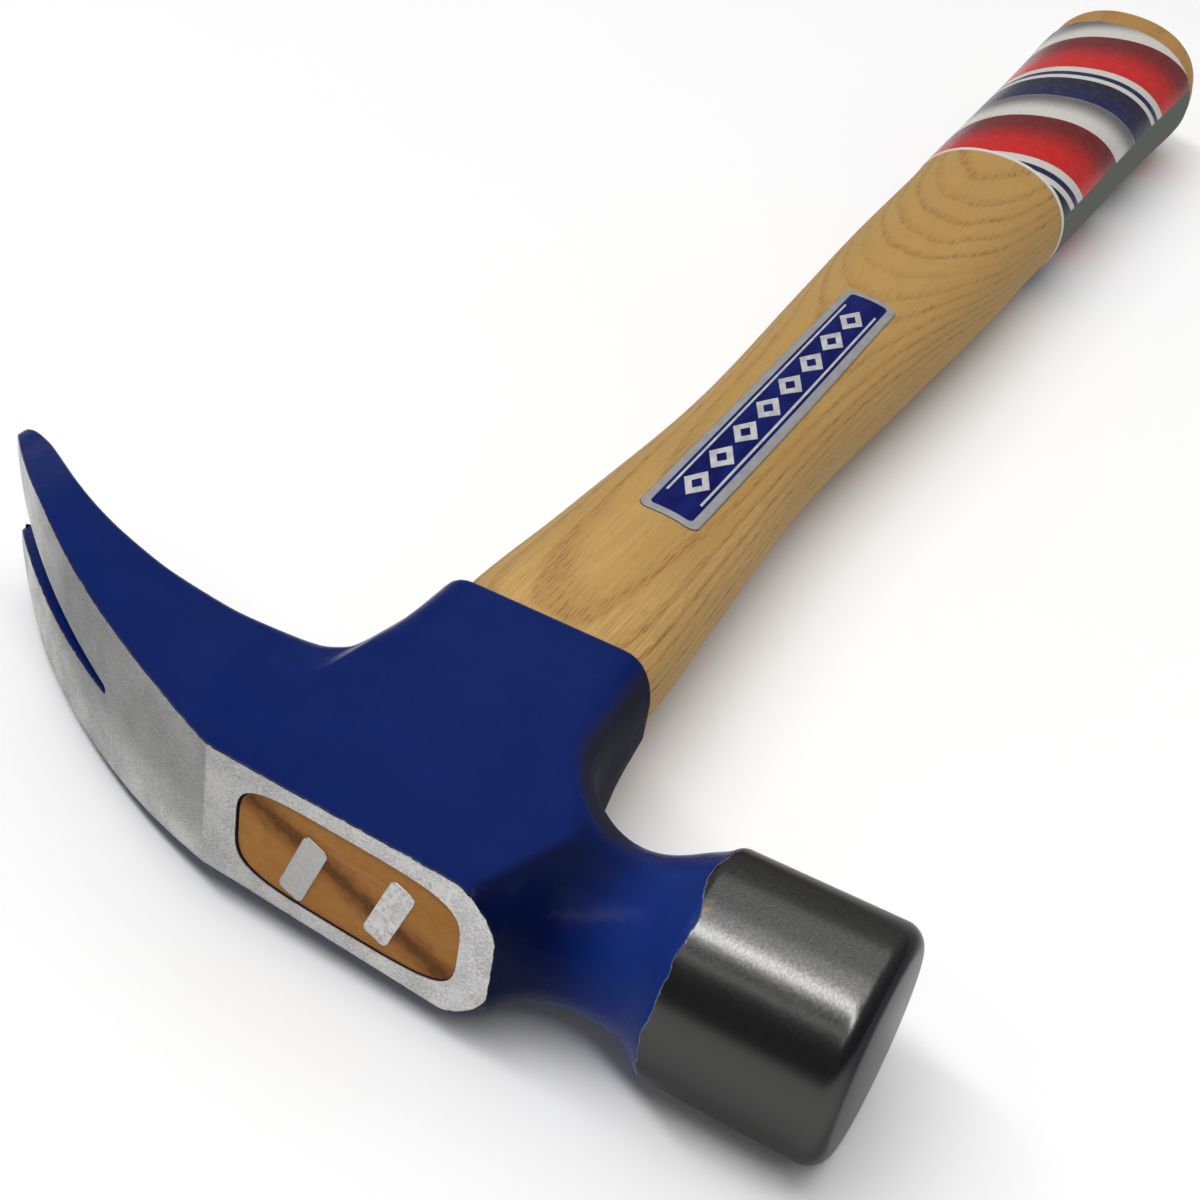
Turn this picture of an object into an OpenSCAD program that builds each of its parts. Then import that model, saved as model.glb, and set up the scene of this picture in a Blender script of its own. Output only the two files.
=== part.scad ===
// Straight claw hammer: a forged and ground steel head wedged on a hickory handle.
// Modelling axes: X runs to the striking face, Y runs down the handle from the top of the head,
// Z is up with the hammer lying on its cheek. X = Z = 0 is the handle's centre line.

/* [Overall] */
// Length from the top of the head to the butt of the handle
overall_length = 333; // [270:1:400]

/* [Barrel and neck] */
// Diameter of the round striking barrel at its face
poll_diameter = 29.4; // [24:0.1:36]
// Taper of the barrel's diameter from its face to its back
poll_taper = 0.6; // [0:0.1:1.5]
// Length of the barrel
poll_length = 24; // [19:0.1:29.5]
// Height of the barrel's upper edge above the top of the eye
poll_rise = 1; // [0:0.1:2]
// Radius of the rounding at the back of the barrel
poll_back_radius = 1.8; // [1:0.1:3]
// Radius of the rounding round the striking face
face_edge_radius = 2.8; // [1:0.1:4]
// Height of the striking face's crown
face_crown = 0.4; // [0.2:0.1:1]
// Length of the neck from the ground top to the barrel
neck_length = 17.1; // [14:0.1:22]
// Step from the barrel down to the neck's waist
neck_step = 4.2; // [3:0.1:5.2]
// Height of the neck's waist above the barrel's axis
neck_lift = 1.4; // [0:0.1:1.8]

/* [Cheeks and top] */
// Slope of the ground top, in degrees, falling towards the claw
top_slope = 4; // [0:0.5:6]
// Steel left in front of the eye at the top
front_wall = 4.6; // [3.5:0.1:6]
// Steel left behind the eye at the top
rear_wall = 4.8; // [3.5:0.1:6]
// Steel left beside the eye at the front of the top
front_side = 3; // [2.4:0.1:5]
// Steel left beside the eye at the back of the top
rear_side = 2.2; // [2:0.1:4]
// Steel left beside the eye at the skirt
skirt_side = 3.4; // [2.4:0.1:5]
// Steel left in front of the eye at the skirt
skirt_front_wall = 3.2; // [2:0.1:5]
// Steel left behind the eye at the skirt
skirt_rear_wall = 2.4; // [1.8:0.1:4]
// Length of the skirt's rounded corners along the head
skirt_corner = 4; // [3:0.1:5]
// Width of the skirt's front corners across the head
skirt_front_bow = 8; // [5:0.1:9]
// Width of the skirt's rear corners across the head
skirt_rear_bow = 5; // [4:0.1:9]
// Depth of the underside of the claw where it meets the skirt
throat_depth = 24.2; // [20:0.1:28]
// Drop of the skirt below the throat
skirt_drop = 20.8; // [17:0.1:26]

/* [Claw] */
// Length of the claw from its crease to its tips
claw_length = 60.6; // [50:0.1:73]
// Fall of the claw from its crease to its tips
claw_fall = 37.6; // [31:0.1:45]
// Radius of the ground arc along the top of the claw
claw_arc_radius = 143; // [118:1:172]
// Greatest width across both tines
claw_width = 24.4; // [20:0.1:29]
// Width across the tips
claw_tip_width = 18; // [15:0.1:21.6]
// Thickness of the claw half way to the tips
claw_mid_thickness = 11.2; // [9:0.1:13]
// Thickness of the tips
claw_tip_thickness = 2; // [1:0.1:2.5]
// Length of the nail slot from its root to the tips
slot_length = 38; // [31:0.5:46]
// Width of the nail slot at its root
slot_root_width = 1.2; // [0.8:0.1:2]
// Width of the nail slot two thirds of the way out
slot_mid_width = 6.2; // [5:0.1:7.4]
// Width of the nail slot at the tips
slot_tip_width = 10.2; // [8:0.1:12]

/* [Eye] */
// Distance of the eye's centre in front of the handle's centre line
eye_forward = 1.4; // [0:0.1:2]
// Length of the eye at the top of the head
eye_length_top = 32; // [27:0.1:38]
// Width of the eye at the top of the head
eye_width_top = 14.4; // [12:0.1:17]
// Narrowing of the eye's length from the top to its waist
eye_pinch_length = 4.6; // [2:0.1:6]
// Narrowing of the eye's width from the top to its waist
eye_pinch_width = 1; // [0.4:0.1:2]
// Depth of the eye's waist
eye_waist_depth = 16; // [13:0.5:19]
// Length of the eye at the skirt
eye_length_skirt = 26; // [22:0.1:31]
// Width of the eye at the skirt
eye_width_skirt = 18.4; // [16:0.1:22]

/* [Wedges] */
// Turn of the wedges away from square, in degrees
wedge_turn = 19; // [0:1:24]
// Thickness of the wooden wedge at the top
wood_wedge_thickness = 3; // [2:0.1:4]
// Depth of the wooden wedge
wood_wedge_depth = 32; // [27:1:38]
// Wood left between the eye and the sides of a steel wedge
steel_side = 1.9; // [1.7:0.1:3]
// Thickness of a steel wedge at the top
steel_wedge_thickness = 3.7; // [2.5:0.1:4.4]
// Depth of a steel wedge
steel_wedge_depth = 23; // [19:1:27]
// Distance of the front steel wedge in front of the eye's centre
steel_front_place = 6.5; // [4:0.1:9]
// Distance of the rear steel wedge behind the eye's centre
steel_rear_place = 5.8; // [4:0.1:9]
// Distance of the rear steel wedge across from the eye's centre
steel_rear_shift = 0.7; // [0:0.1:0.8]
// Depth of the steel wedges' ends below the ground top
steel_recess = 0.15; // [0:0.05:0.5]
// Depth of the wood's end grain below the ground top
wood_recess = 0.35; // [0.2:0.05:1]

/* [Handle] */
// Width of the shoulder below the skirt
shoulder_width = 30.8; // [28:0.1:37]
// Thickness of the shoulder below the skirt
shoulder_thickness = 20; // [19:0.1:24]
// Distance from the skirt to the handle's waist
waist_drop = 72; // [60:1:87]
// Width of the handle at its waist
waist_width = 23.8; // [20:0.1:30]
// Thickness of the handle at its waist
waist_thickness = 21.4; // [18:0.1:25]
// Distance of the grip's fullest place above the butt
grip_height = 111; // [92:1:120]
// Width of the grip
grip_width = 31.2; // [27:0.1:39]
// Thickness of the grip
grip_thickness = 24; // [20:0.1:28]
// Distance of the butt's fullest place above its end
flare_height = 11.5; // [9.5:0.5:14]
// Width of the flared butt
butt_width = 36.8; // [31:0.1:44]
// Thickness of the flared butt
butt_thickness = 27.6; // [23:0.1:33]
// Radius of the rounding round the butt
butt_radius = 3; // [2:0.5:6]

/* [Label and sleeve] */
// Length of the foil label
label_length = 80.5; // [65:0.5:97]
// Width of the foil label
label_width = 9.6; // [8:0.1:11.6]
// Distance from the skirt to the label
label_gap = 33; // [27:1:40]
// Distance of the label's centre in front of the handle's centre line
label_forward = 2; // [-2:0.1:2.5]
// Turn of the label away from the handle's line, in degrees
label_turn = 0.5; // [-3:0.1:3]
// Radius of the label's corners
label_corner = 1.6; // [0.5:0.1:3]
// Length of the printed grip sleeve
sleeve_length = 90; // [75:1:108]
// Bare wood left below the sleeve
sleeve_margin = 12.5; // [9:0.5:16]
// Thickness of the label and the sleeve film
film = 0.25; // [0.2:0.05:0.5]

/* [Hidden] */

// Steel left above the ground surfaces before grinding
grind = 1.5;
// Overrun of a cut past the solid that it cuts
over = 1;
// Points round one corner of a head section, along one of its sides, and round a handle section
corner_steps = 7;
side_steps = 6;
handle_sides = 40;
// Longest step between two sections of the head, and of the handle
head_pace = 3.5;
handle_pace = 9;
// Least distance along the head between the skirt and the edges of the ground top
least_step = 3;

// Barrel and neck
poll_r = poll_diameter / 2;
poll_back_r = poll_r - poll_taper / 2;
poll_axis_depth = poll_r - poll_rise;
neck_r = poll_r - neck_step;
// Radius of the neck where it runs into the back of the barrel
neck_end_r = poll_back_r - poll_back_radius / 2;
neck_floor = poll_axis_depth - neck_lift + neck_r;

// Cheeks, top and claw round the eye
head_depth = throat_depth + skirt_drop;
skirt_half = eye_width_skirt / 2 + skirt_side;
rear_half = eye_width_top / 2 + rear_side;
front_half = eye_width_top / 2 + front_side;
cheek_half = rear_half + 0.55 * (skirt_half - rear_half);
skirt_front = eye_forward + eye_length_skirt / 2 + skirt_front_wall;
skirt_back = eye_length_skirt / 2 - eye_forward + skirt_rear_wall;
top_front = max(eye_forward + eye_length_top / 2 + front_wall, skirt_front + least_step);
crease_back = max(eye_length_top / 2 - eye_forward + rear_wall, skirt_back + least_step);
claw_reach = crease_back + claw_length;
poll_back = top_front + neck_length;
face_reach = poll_back + poll_length;

// The hammer lies on the barrel, or on the butt if that is thicker
rest_height = max(poll_r, butt_thickness / 2, skirt_half);
head_top = min(-top_front * tan(top_slope), -poll_rise);
part_centre = [(face_reach + face_crown - claw_reach) / 2, (overall_length + head_top) / 2];

// Value a share of the way from a to b
function between(a, b, share) = a + (b - a) * share;

// Value of column c of table t at x, on a smooth curve that never overshoots its points
function secant(t, c, i) = (t[i + 1][c] - t[i][c]) / (t[i + 1][0] - t[i][0]);
function tangent(t, c, i) =
    i == 0 ? secant(t, c, 0) :
    i == len(t) - 1 ? secant(t, c, i - 1) :
    let (a = secant(t, c, i - 1), b = secant(t, c, i)) a * b <= 0 ? 0 : 2 * a * b / (a + b);
function interval(t, x, i = 0) = i >= len(t) - 2 || x < t[i + 1][0] ? i : interval(t, x, i + 1);
function smooth(t, c, x) =
    let (
        i = interval(t, x),
        h = t[i + 1][0] - t[i][0],
        s = (x - t[i][0]) / h,
        a = h * tangent(t, c, i),
        b = h * tangent(t, c, i + 1)
    )
    t[i][c] * (1 + 2 * s) * (1 - s) ^ 2 + a * s * (1 - s) ^ 2
    + t[i + 1][c] * s ^ 2 * (3 - 2 * s) - b * s ^ 2 * (1 - s);

// Stations of table t, with more between them wherever the step is longer than the pace
function stations(t, pace) = [
    for (i = [0:len(t) - 2])
        let (h = t[i + 1][0] - t[i][0], n = ceil(h / pace)) for (j = [0:n - 1]) t[i][0] + h * j / n,
    t[len(t) - 1][0]
];

// Closed solid through a list of rings, each with the same number of points.
// The second half of each ring is split the other way, so that its two sides mirror each other.
function ring_faces(rows, n) = [
    for (i = [0:rows - 2]) for (k = [0:n - 1])
        let (a = i * n + k, b = i * n + (k + 1) % n, c = a + n, d = b + n)
        each k < n / 2 ? [[a, b, c], [b, d, c]] : [[a, b, d], [a, d, c]]
];
module loft(rings) {
    n = len(rings[0]);
    last = (len(rings) - 1) * n;
    first_cap = [for (k = [n - 1:-1:0]) k];
    last_cap = [for (k = [0:n - 1]) last + k];
    polyhedron([for (r = rings) each r], concat([first_cap], ring_faces(len(rings), n), [last_cap]));
}

// Everything is drawn from the head's top and then set down with the middle of its box on the origin
module set_down() {
    translate([-part_centre[0], -part_centre[1], rest_height]) children();
}

// Ground line of the head: a straight slope over the eye, then an arc down the claw to its tips
crease = [-crease_back, crease_back * tan(top_slope)];
chord = [-claw_length, claw_fall];
arc_lift = sqrt(claw_arc_radius ^ 2 - (norm(chord) / 2) ^ 2);
arc_centre = crease + chord / 2 + arc_lift / norm(chord) * [chord[1], -chord[0]];
function ground(x) = x > -crease_back
    ? -x * tan(top_slope)
    : arc_centre[1] - sqrt(claw_arc_radius ^ 2 - (x - arc_centre[0]) ^ 2);

// Claw sections: share of the way from the crease to the tips, thickness, half width
claw_half = claw_width / 2;
tip_half = claw_tip_width / 2;
claw_table = [
    [0, throat_depth - crease[1], rear_half],
    [0.2, between(claw_mid_thickness, throat_depth, 0.5), between(rear_half, claw_half, 0.55)],
    [0.5, claw_mid_thickness, between(rear_half, claw_half, 0.9)],
    [0.68, claw_mid_thickness * 0.71, claw_half],
    [0.84, claw_mid_thickness * 0.47, between(claw_half, tip_half, 0.5)],
    [0.97, claw_tip_thickness * 1.5, tip_half],
    [1, claw_tip_thickness, tip_half * 0.91]
];
claw_stations = [1, 0.985, 0.97, 0.84, 0.68, 0.5, 0.34, 0.2, 0.1];

// Head sections from the claw to the barrel: place, top, bottom, half width at the top,
// at the middle and at the bottom, rounding at the top and at the bottom.
// A rounding is a share of the section: 0 leaves a corner square and 1 turns it into half an oval.
ground_edge = 0.05;
rim_edge = 0.06;
forged_edge = 0.25;
oval = 0.94;

function claw_row(u) =
    let (x = -between(crease_back, claw_reach, u), w = smooth(claw_table, 2, u), draft = 0.5 * (1 - u))
    [x, ground(x) - grind, ground(x) + smooth(claw_table, 1, u), w, w + draft, w + draft,
        ground_edge, forged_edge];

// Half width of the skirt's rim a share of the way round its corner, from the wall to the cheek
function rim_half(bow, share) = skirt_half - bow * (1 - sqrt(1 - (1 - share) ^ 2));
corner_shares = [0, 0.05, 0.14, 0.3, 0.55, 1];

// Half width of the ground top, and where its front corners are cut off
chamfer = skirt_front - skirt_corner / 2;
function top_half(x) =
    between(rear_half, front_half, max(0, min(1, (x + crease_back) / (chamfer + crease_back))));
function top_round(x) = max(ground_edge, 0.6 * (x - chamfer) / (top_front - chamfer));
function top_rise(x) = grind * min(1, (top_front - x) / (top_front - chamfer));

// Wall rows: share of the way from the rim to the throat or neck, share of the rise, half width, rounding
rear_flat = skirt_half - skirt_rear_bow;
front_flat = skirt_half - skirt_front_bow;
rear_wall_rows = [
    [1, 1, rear_half + 0.5, forged_edge], [0.62, 0.94, rear_half + 0.3, forged_edge],
    [0.42, 0.84, between(rear_flat, rear_half, 0.85), forged_edge],
    [0.27, 0.68, between(rear_flat, rear_half, 0.65), 0.2],
    [0.15, 0.38, between(rear_flat, rear_half, 0.4), 0.12],
    [0.05, 0.1, between(rear_flat, rear_half, 0.1), 0.08]
];
front_wall_rows = [
    [0.02, 0.1, between(front_flat, neck_r, 0.1), 0.08], [0.05, 0.45, between(front_flat, neck_r, 0.3), 0.12],
    [0.1, 0.68, between(front_flat, neck_r, 0.45), 0.2], [0.2, 0.83, between(front_flat, neck_r, 0.65), 0.34],
    [0.46, 0.94, between(front_flat, neck_r, 0.85), 0.55], [1, 1, neck_r, 0.78]
];
function cheek_row(x, bottom, bottom_half, bottom_round) =
    [x, ground(x) - top_rise(x), bottom, top_half(x), cheek_half, bottom_half, top_round(x), bottom_round];

// Neck rows: share of the neck's length, share of its lift, share of its flare to the barrel, rounding
neck_rows = [[0.28, 1.3, 0.2, 0.92], [0.45, 1, 0, oval], [0.64, 0.5, 0.1, oval], [0.86, -0.25, 0.55, oval]];
// Underside of the neck where it leaves the front wall, and how far the neck swells there
root_floor = neck_floor + 2;
root_swell = 0.4;
function round_row(x, y, r, round) = [x, y - r, y + r, r, r, r, round, round];

head_table = concat(
    [for (u = claw_stations) claw_row(u)],
    [for (w = rear_wall_rows)
        cheek_row(-between(skirt_back, crease_back, w[0]), between(head_depth, throat_depth, w[1]),
            w[2], w[3])],
    [for (u = corner_shares)
        cheek_row(-skirt_back + u * skirt_corner, head_depth, rim_half(skirt_rear_bow, u), rim_edge)],
    [for (k = [len(corner_shares) - 1:-1:0]) let (u = corner_shares[k])
        cheek_row(skirt_front - u * skirt_corner, head_depth, rim_half(skirt_front_bow, u), rim_edge)],
    [for (w = front_wall_rows)
        cheek_row(between(skirt_front, top_front, w[0]), between(head_depth, root_floor, w[1]),
            w[2], w[3])],
    [[between(top_front, poll_back, 0.13), 0, between(neck_floor, root_floor, 0.5),
        neck_r + root_swell, neck_r + root_swell, neck_r + root_swell, 0.8, 0.88]],
    [for (n = neck_rows) round_row(between(top_front, poll_back, n[0]), poll_axis_depth - neck_lift * n[1],
        between(neck_r, neck_end_r, n[2]), n[3])],
    [for (d = [0.5, 3]) round_row(poll_back + d, poll_axis_depth, neck_end_r, oval)]
);

// Section of the head at x: sides that bulge or draw in, between two oval corners
bend = 0.55;
function head_section(x) =
    let (
        y1 = smooth(head_table, 1, x), y2 = smooth(head_table, 2, x),
        side = [for (k = [0:2]) [[0, bend, 1][k], smooth(head_table, 3 + k, x)]],
        c1 = smooth(head_table, 6, x), c2 = smooth(head_table, 7, x),
        upper = [for (k = [0:corner_steps]) let (a = 90 - 90 * k / corner_steps)
            [c1 / 2 * (1 - sin(a)), 1 - c1 * (1 - cos(a))]],
        middle = [for (k = [1:side_steps - 1]) [between(c1 / 2, 1 - c2 / 2, k / side_steps), 1]],
        lower = [for (k = [0:corner_steps]) let (a = 90 * k / corner_steps)
            [1 - c2 / 2 * (1 - sin(a)), 1 - c2 * (1 - cos(a))]],
        half = [for (p = concat(upper, middle, lower)) [between(y1, y2, p[0]), p[1] * smooth(side, 1, p[0])]]
    )
    concat(
        [for (p = half) [x, p[0], p[1]]],
        [for (k = [len(half) - 1:-1:0]) [x, half[k][0], -half[k][1]]]
    );

module forged_blank() {
    loft([for (x = stations(head_table, head_pace)) head_section(x)]);
}

// Round barrel with a rounded back, a rounded face edge and a crowned face
module barrel() {
    face_r = poll_r - face_edge_radius;
    crown_r = (face_r ^ 2 + face_crown ^ 2) / (2 * face_crown);
    back = [for (a = [0:15:90]) [poll_back_r - poll_back_radius * (1 - sin(a)),
        poll_back + poll_back_radius * (1 - cos(a))]];
    edge = [for (a = [0:15:75]) [face_r + face_edge_radius * cos(a),
        face_reach - face_edge_radius * (1 - sin(a))]];
    sweep = asin(face_r / crown_r);
    crown = [for (k = [0:4]) let (a = sweep * (1 - k / 4))
        [crown_r * sin(a), face_reach + face_crown - crown_r * (1 - cos(a))]];
    translate([0, poll_axis_depth, 0]) rotate([0, 90, 0])
        rotate_extrude($fn = 96) polygon(concat([[0, poll_back]], back, edge, crown));
}

// All above the ground line, across the whole width of the head
module grinding() {
    reach = claw_reach + over;
    above = head_top - 2 * grind - over;
    front = top_front + over;
    arc_points = [for (x = [-crease_back:-head_pace / 2:-reach]) [x, ground(x)]];
    end = [-reach, ground(-reach)];
    translate([0, 0, -claw_width]) linear_extrude(2 * claw_width)
        polygon(concat([[front, above], [front, ground(front)]], arc_points, [end, [-reach, above]]));
}

// Nail slot between the tines: a narrow round root that widens to the tips
module nail_slot() {
    root = slot_root_width / 2;
    root_x = -claw_reach + slot_length;
    mid_x = -claw_reach + slot_length / 3;
    slot_table = [
        [-claw_reach - over, slot_tip_width / 2 + 0.3], [-claw_reach, slot_tip_width / 2],
        [mid_x, slot_mid_width / 2], [root_x, root]
    ];
    edge = [for (x = stations(slot_table, head_pace)) [x, smooth(slot_table, 1, x)]];
    round_root = [for (a = [60:-30:-60]) [root_x + root * cos(a), root * sin(a)]];
    other = [for (k = [len(edge) - 1:-1:0]) [edge[k][0], -edge[k][1]]];
    rotate([90, 0, 0]) translate([0, 0, -2 * head_depth]) linear_extrude(3 * head_depth)
        polygon(concat(edge, round_root, other));
}

// Handle sections: place, half width, half thickness, squareness, distance forward
eye_top = -2 * grind - top_front * tan(top_slope);
eye_end = head_depth + 0.6;
shoulder_place = head_depth + 8;
shoulder_start = head_depth + 2.6;
grip_square = 2.2;
eye_waist = [eye_length_top - eye_pinch_length, eye_width_top - eye_pinch_width] / 2;
eye_table = [
    [eye_top, eye_length_top / 2 + 0.2, eye_width_top / 2 + 0.1, 4.2, eye_forward],
    [0, eye_length_top / 2, eye_width_top / 2, 4.2, eye_forward],
    [eye_waist_depth, eye_waist[0], eye_waist[1], 3.8, eye_forward],
    [between(eye_waist_depth, head_depth, 0.5), between(eye_waist[0], eye_length_skirt / 2, 0.5),
        between(eye_waist[1], eye_width_skirt / 2, 0.5), 3.2, eye_forward],
    [eye_end, eye_length_skirt / 2, eye_width_skirt / 2, 2.7, eye_forward]
];

// Below the skirt the handle runs from form to form, each with a place, a half width and a half thickness
shoulder = [shoulder_place, shoulder_width / 2, shoulder_thickness / 2];
waist = [head_depth + waist_drop, waist_width / 2, waist_thickness / 2];
grip = [overall_length - grip_height, grip_width / 2, grip_thickness / 2];
butt = [overall_length - flare_height, butt_width / 2, butt_thickness / 2];
function handle_row(from, to, place_share, width_share, thickness_share) =
    [between(from[0], to[0], place_share), between(from[1], to[1], width_share),
        between(from[2], to[2], thickness_share), grip_square, 0];
function butt_row(share, inset) =
    [overall_length - butt_radius * share, butt[1] - butt_radius * inset, butt[2] - butt_radius * inset,
        grip_square, 0];
handle_table = concat(eye_table, [
    [shoulder_start, between(eye_length_skirt / 2, shoulder[1], 0.7),
        between(eye_width_skirt / 2, shoulder[2], 0.7), 2.5, eye_forward * 0.3],
    [shoulder[0], shoulder[1], shoulder[2], 2.4, 0],
    handle_row(shoulder, waist, 0.38, 0.4, 0.3),
    handle_row(shoulder, waist, 1, 1, 1),
    handle_row(waist, grip, 0.43, 0.5, 0.5),
    handle_row(waist, grip, 0.76, 0.9, 0.8),
    handle_row(waist, grip, 1, 1, 1),
    handle_row(grip, butt, 0.1, 0.08, 0.25),
    handle_row(grip, butt, 0.73, 0.6, 0.78),
    handle_row(grip, butt, 1, 1, 1),
    butt_row(1, 0.05),
    butt_row(0.3, 0.35),
    butt_row(0, 1)
]);
function power(v, e) = sign(v) * abs(v) ^ e;
function handle_section(y, skin = 0) =
    let (
        a = smooth(handle_table, 1, y) + skin, b = smooth(handle_table, 2, y) + skin,
        e = 2 / smooth(handle_table, 3, y), forward = smooth(handle_table, 4, y)
    )
    [for (k = [0:handle_sides - 1]) let (q = 360 * k / handle_sides)
        [forward + a * power(cos(q), e), y, b * power(sin(q), e)]];

// Stations of the handle, with one wherever a film starts or ends
label_room = 3;
label_start = head_depth + label_gap;
label_band = [label_start - label_room, label_start + label_length + label_room];
sleeve_end = overall_length - sleeve_margin;
sleeve_band = [sleeve_end - sleeve_length, sleeve_end];
function with_row(rows, y) =
    concat([for (r = rows) if (r < y - over) r], [y], [for (r = rows) if (r > y + over) r]);
plain_stations = stations(handle_table, handle_pace);
handle_stations = with_row(with_row(with_row(with_row(plain_stations,
    label_band[0]), label_band[1]), sleeve_band[0]), sleeve_band[1]);

module handle_blank() {
    loft([for (y = handle_stations) handle_section(y)]);
}

// Space that the eye leaves for the handle, open past the top and past the skirt
module eye() {
    rows = [for (y = handle_stations) if (y <= eye_end) handle_section(y)];
    below = [for (p = handle_section(eye_end)) p + [0, over, 0]];
    loft(concat(rows, [below]));
}

// Film of even thickness on the handle between two of its stations
module skin_band(band) {
    rows = [for (y = handle_stations) if (y >= band[0] && y <= band[1]) y];
    n = handle_sides;
    m = len(rows);
    outer = [for (y = rows) each handle_section(y, film)];
    inner = [for (y = rows) each handle_section(y)];
    wall = ring_faces(m, n);
    inside = [for (f = wall) [f[2], f[1], f[0]] + m * n * [1, 1, 1]];
    start = [for (a = [0:n - 1]) let (b = (a + 1) % n)
        each [[b, a, a + m * n], [b, a + m * n, b + m * n]]];
    lift = (m - 1) * n;
    finish = [for (f = start) [f[0], f[2], f[1]] + lift * [1, 1, 1]];
    polyhedron(concat(outer, inner), concat(wall, inside, start, finish));
}

// All above the head's ground top, or above a plane a little below it
module above_top(recess) {
    span = 4 * eye_length_top;
    rotate([0, 0, -top_slope]) translate([-span / 2, recess - span, -span / 2]) cube(span);
}

// Wedge that tapers from a thickness at the top to a thin edge at its depth, with its width along X
module taper(width, thickness, depth) {
    edge = thickness / 6;
    rise = 4 * grind;
    slope = (thickness - edge) / depth / 2;
    top = thickness / 2 + slope * rise;
    rotate([0, 90, 0]) translate([0, 0, -width / 2]) linear_extrude(width)
        polygon([[-top, -rise], [top, -rise], [edge / 2, depth], [-edge / 2, depth]]);
}
module wood_wedge_space() {
    translate([eye_forward, 0, 0]) rotate([0, wedge_turn, 0])
        taper(1.3 * eye_length_top, wood_wedge_thickness, wood_wedge_depth);
}
module steel_wedge_space(along, across) {
    translate([eye_forward + along, 0, across]) rotate([0, wedge_turn + 90, 0])
        taper(eye_width_top - 2 * steel_side, steel_wedge_thickness, steel_wedge_depth);
}
module front_space() {
    steel_wedge_space(steel_front_place, 0);
}
module rear_space() {
    steel_wedge_space(-steel_rear_place, -steel_rear_shift);
}

module head() {
    color("midnightblue") set_down() difference() {
        union() {
            forged_blank();
            barrel();
        }
        grinding();
        nail_slot();
        eye();
    }
}

module handle() {
    color("burlywood") set_down() difference() {
        handle_blank();
        above_top(wood_recess);
        wood_wedge_space();
        front_space();
        rear_space();
    }
}

module wood_wedge() {
    color("saddlebrown") set_down() difference() {
        intersection() {
            wood_wedge_space();
            eye();
        }
        above_top(wood_recess);
        front_space();
        rear_space();
    }
}

module steel_wedge_front() {
    color("silver") set_down() difference() {
        front_space();
        above_top(steel_recess);
    }
}

module steel_wedge_rear() {
    color("silver") set_down() difference() {
        rear_space();
        above_top(steel_recess);
    }
}

module foil_label() {
    straight = [label_width - 2 * label_corner, label_length - 2 * label_corner];
    corners = [for (q = [0:3]) for (a = [0:18:90])
        let (s = [q == 0 || q == 3 ? 1 : -1, q < 2 ? 1 : -1])
        [s[0] * straight[0], s[1] * straight[1]] / 2 + label_corner * [cos(q * 90 + a), sin(q * 90 + a)]];
    color("navy") set_down() intersection() {
        skin_band(label_band);
        translate([label_forward, label_start + label_length / 2, 0]) rotate([0, 0, label_turn])
            linear_extrude(grip_thickness) polygon(corners);
    }
}

module grip_sleeve() {
    color("firebrick") set_down() skin_band(sleeve_band);
}

head();
handle();
wood_wedge();
steel_wedge_front();
steel_wedge_rear();
foil_label();
grip_sleeve();
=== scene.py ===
"""Looks of a straight claw hammer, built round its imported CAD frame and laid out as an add-on."""

import math

import bmesh
import bpy
import numpy as np
from bpy.props import FloatProperty, FloatVectorProperty, PointerProperty
from mathutils import Matrix, Vector


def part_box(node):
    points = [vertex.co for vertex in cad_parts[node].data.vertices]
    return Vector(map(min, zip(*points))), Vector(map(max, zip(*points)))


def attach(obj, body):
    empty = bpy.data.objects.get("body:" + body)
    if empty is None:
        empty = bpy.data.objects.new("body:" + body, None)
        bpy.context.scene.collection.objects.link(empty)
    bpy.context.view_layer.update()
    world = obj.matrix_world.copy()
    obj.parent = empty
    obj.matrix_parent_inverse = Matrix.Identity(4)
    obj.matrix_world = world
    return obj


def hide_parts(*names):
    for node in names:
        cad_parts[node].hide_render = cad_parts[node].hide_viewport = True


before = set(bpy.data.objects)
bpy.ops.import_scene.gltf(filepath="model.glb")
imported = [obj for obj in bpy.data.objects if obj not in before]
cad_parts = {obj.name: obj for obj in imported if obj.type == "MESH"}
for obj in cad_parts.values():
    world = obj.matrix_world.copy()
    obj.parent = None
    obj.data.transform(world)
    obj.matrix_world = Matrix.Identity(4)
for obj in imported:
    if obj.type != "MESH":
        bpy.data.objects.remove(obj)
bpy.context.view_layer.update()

bl_info = {
    "name": "Straight claw hammer",
    "version": (1, 0, 0),
    "blender": (4, 5, 0),
    "location": "3D View > Sidebar > Hammer",
    "description": "Builds a straight claw hammer round its CAD frame",
    "category": "Object",
}

# Sizes in millimetres, close to the CAD part's
MM = 0.001
OVERALL_LENGTH = 333.0

# Striking barrel and neck
POLL_RADIUS = 14.69
POLL_BACK_RADIUS = 14.4
POLL_BACK_ROUNDING = 1.8
POLL_AXIS_DEPTH = 13.7
POLL_BACK = 39.1
FACE_REACH = 63.1
FACE_EDGE = 2.8
FACE_CROWN = 0.4
NECK_RADIUS = 10.5
NECK_END_RADIUS = 13.5
NECK_LIFT = 1.4
NECK_SQUEEZE = 0.83
SQUEEZE_START = 20.5
SQUEEZE_MIDDLE = 26.5
NECK_FLOOR = 22.8
ROOT_FLOOR = 24.8

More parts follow.
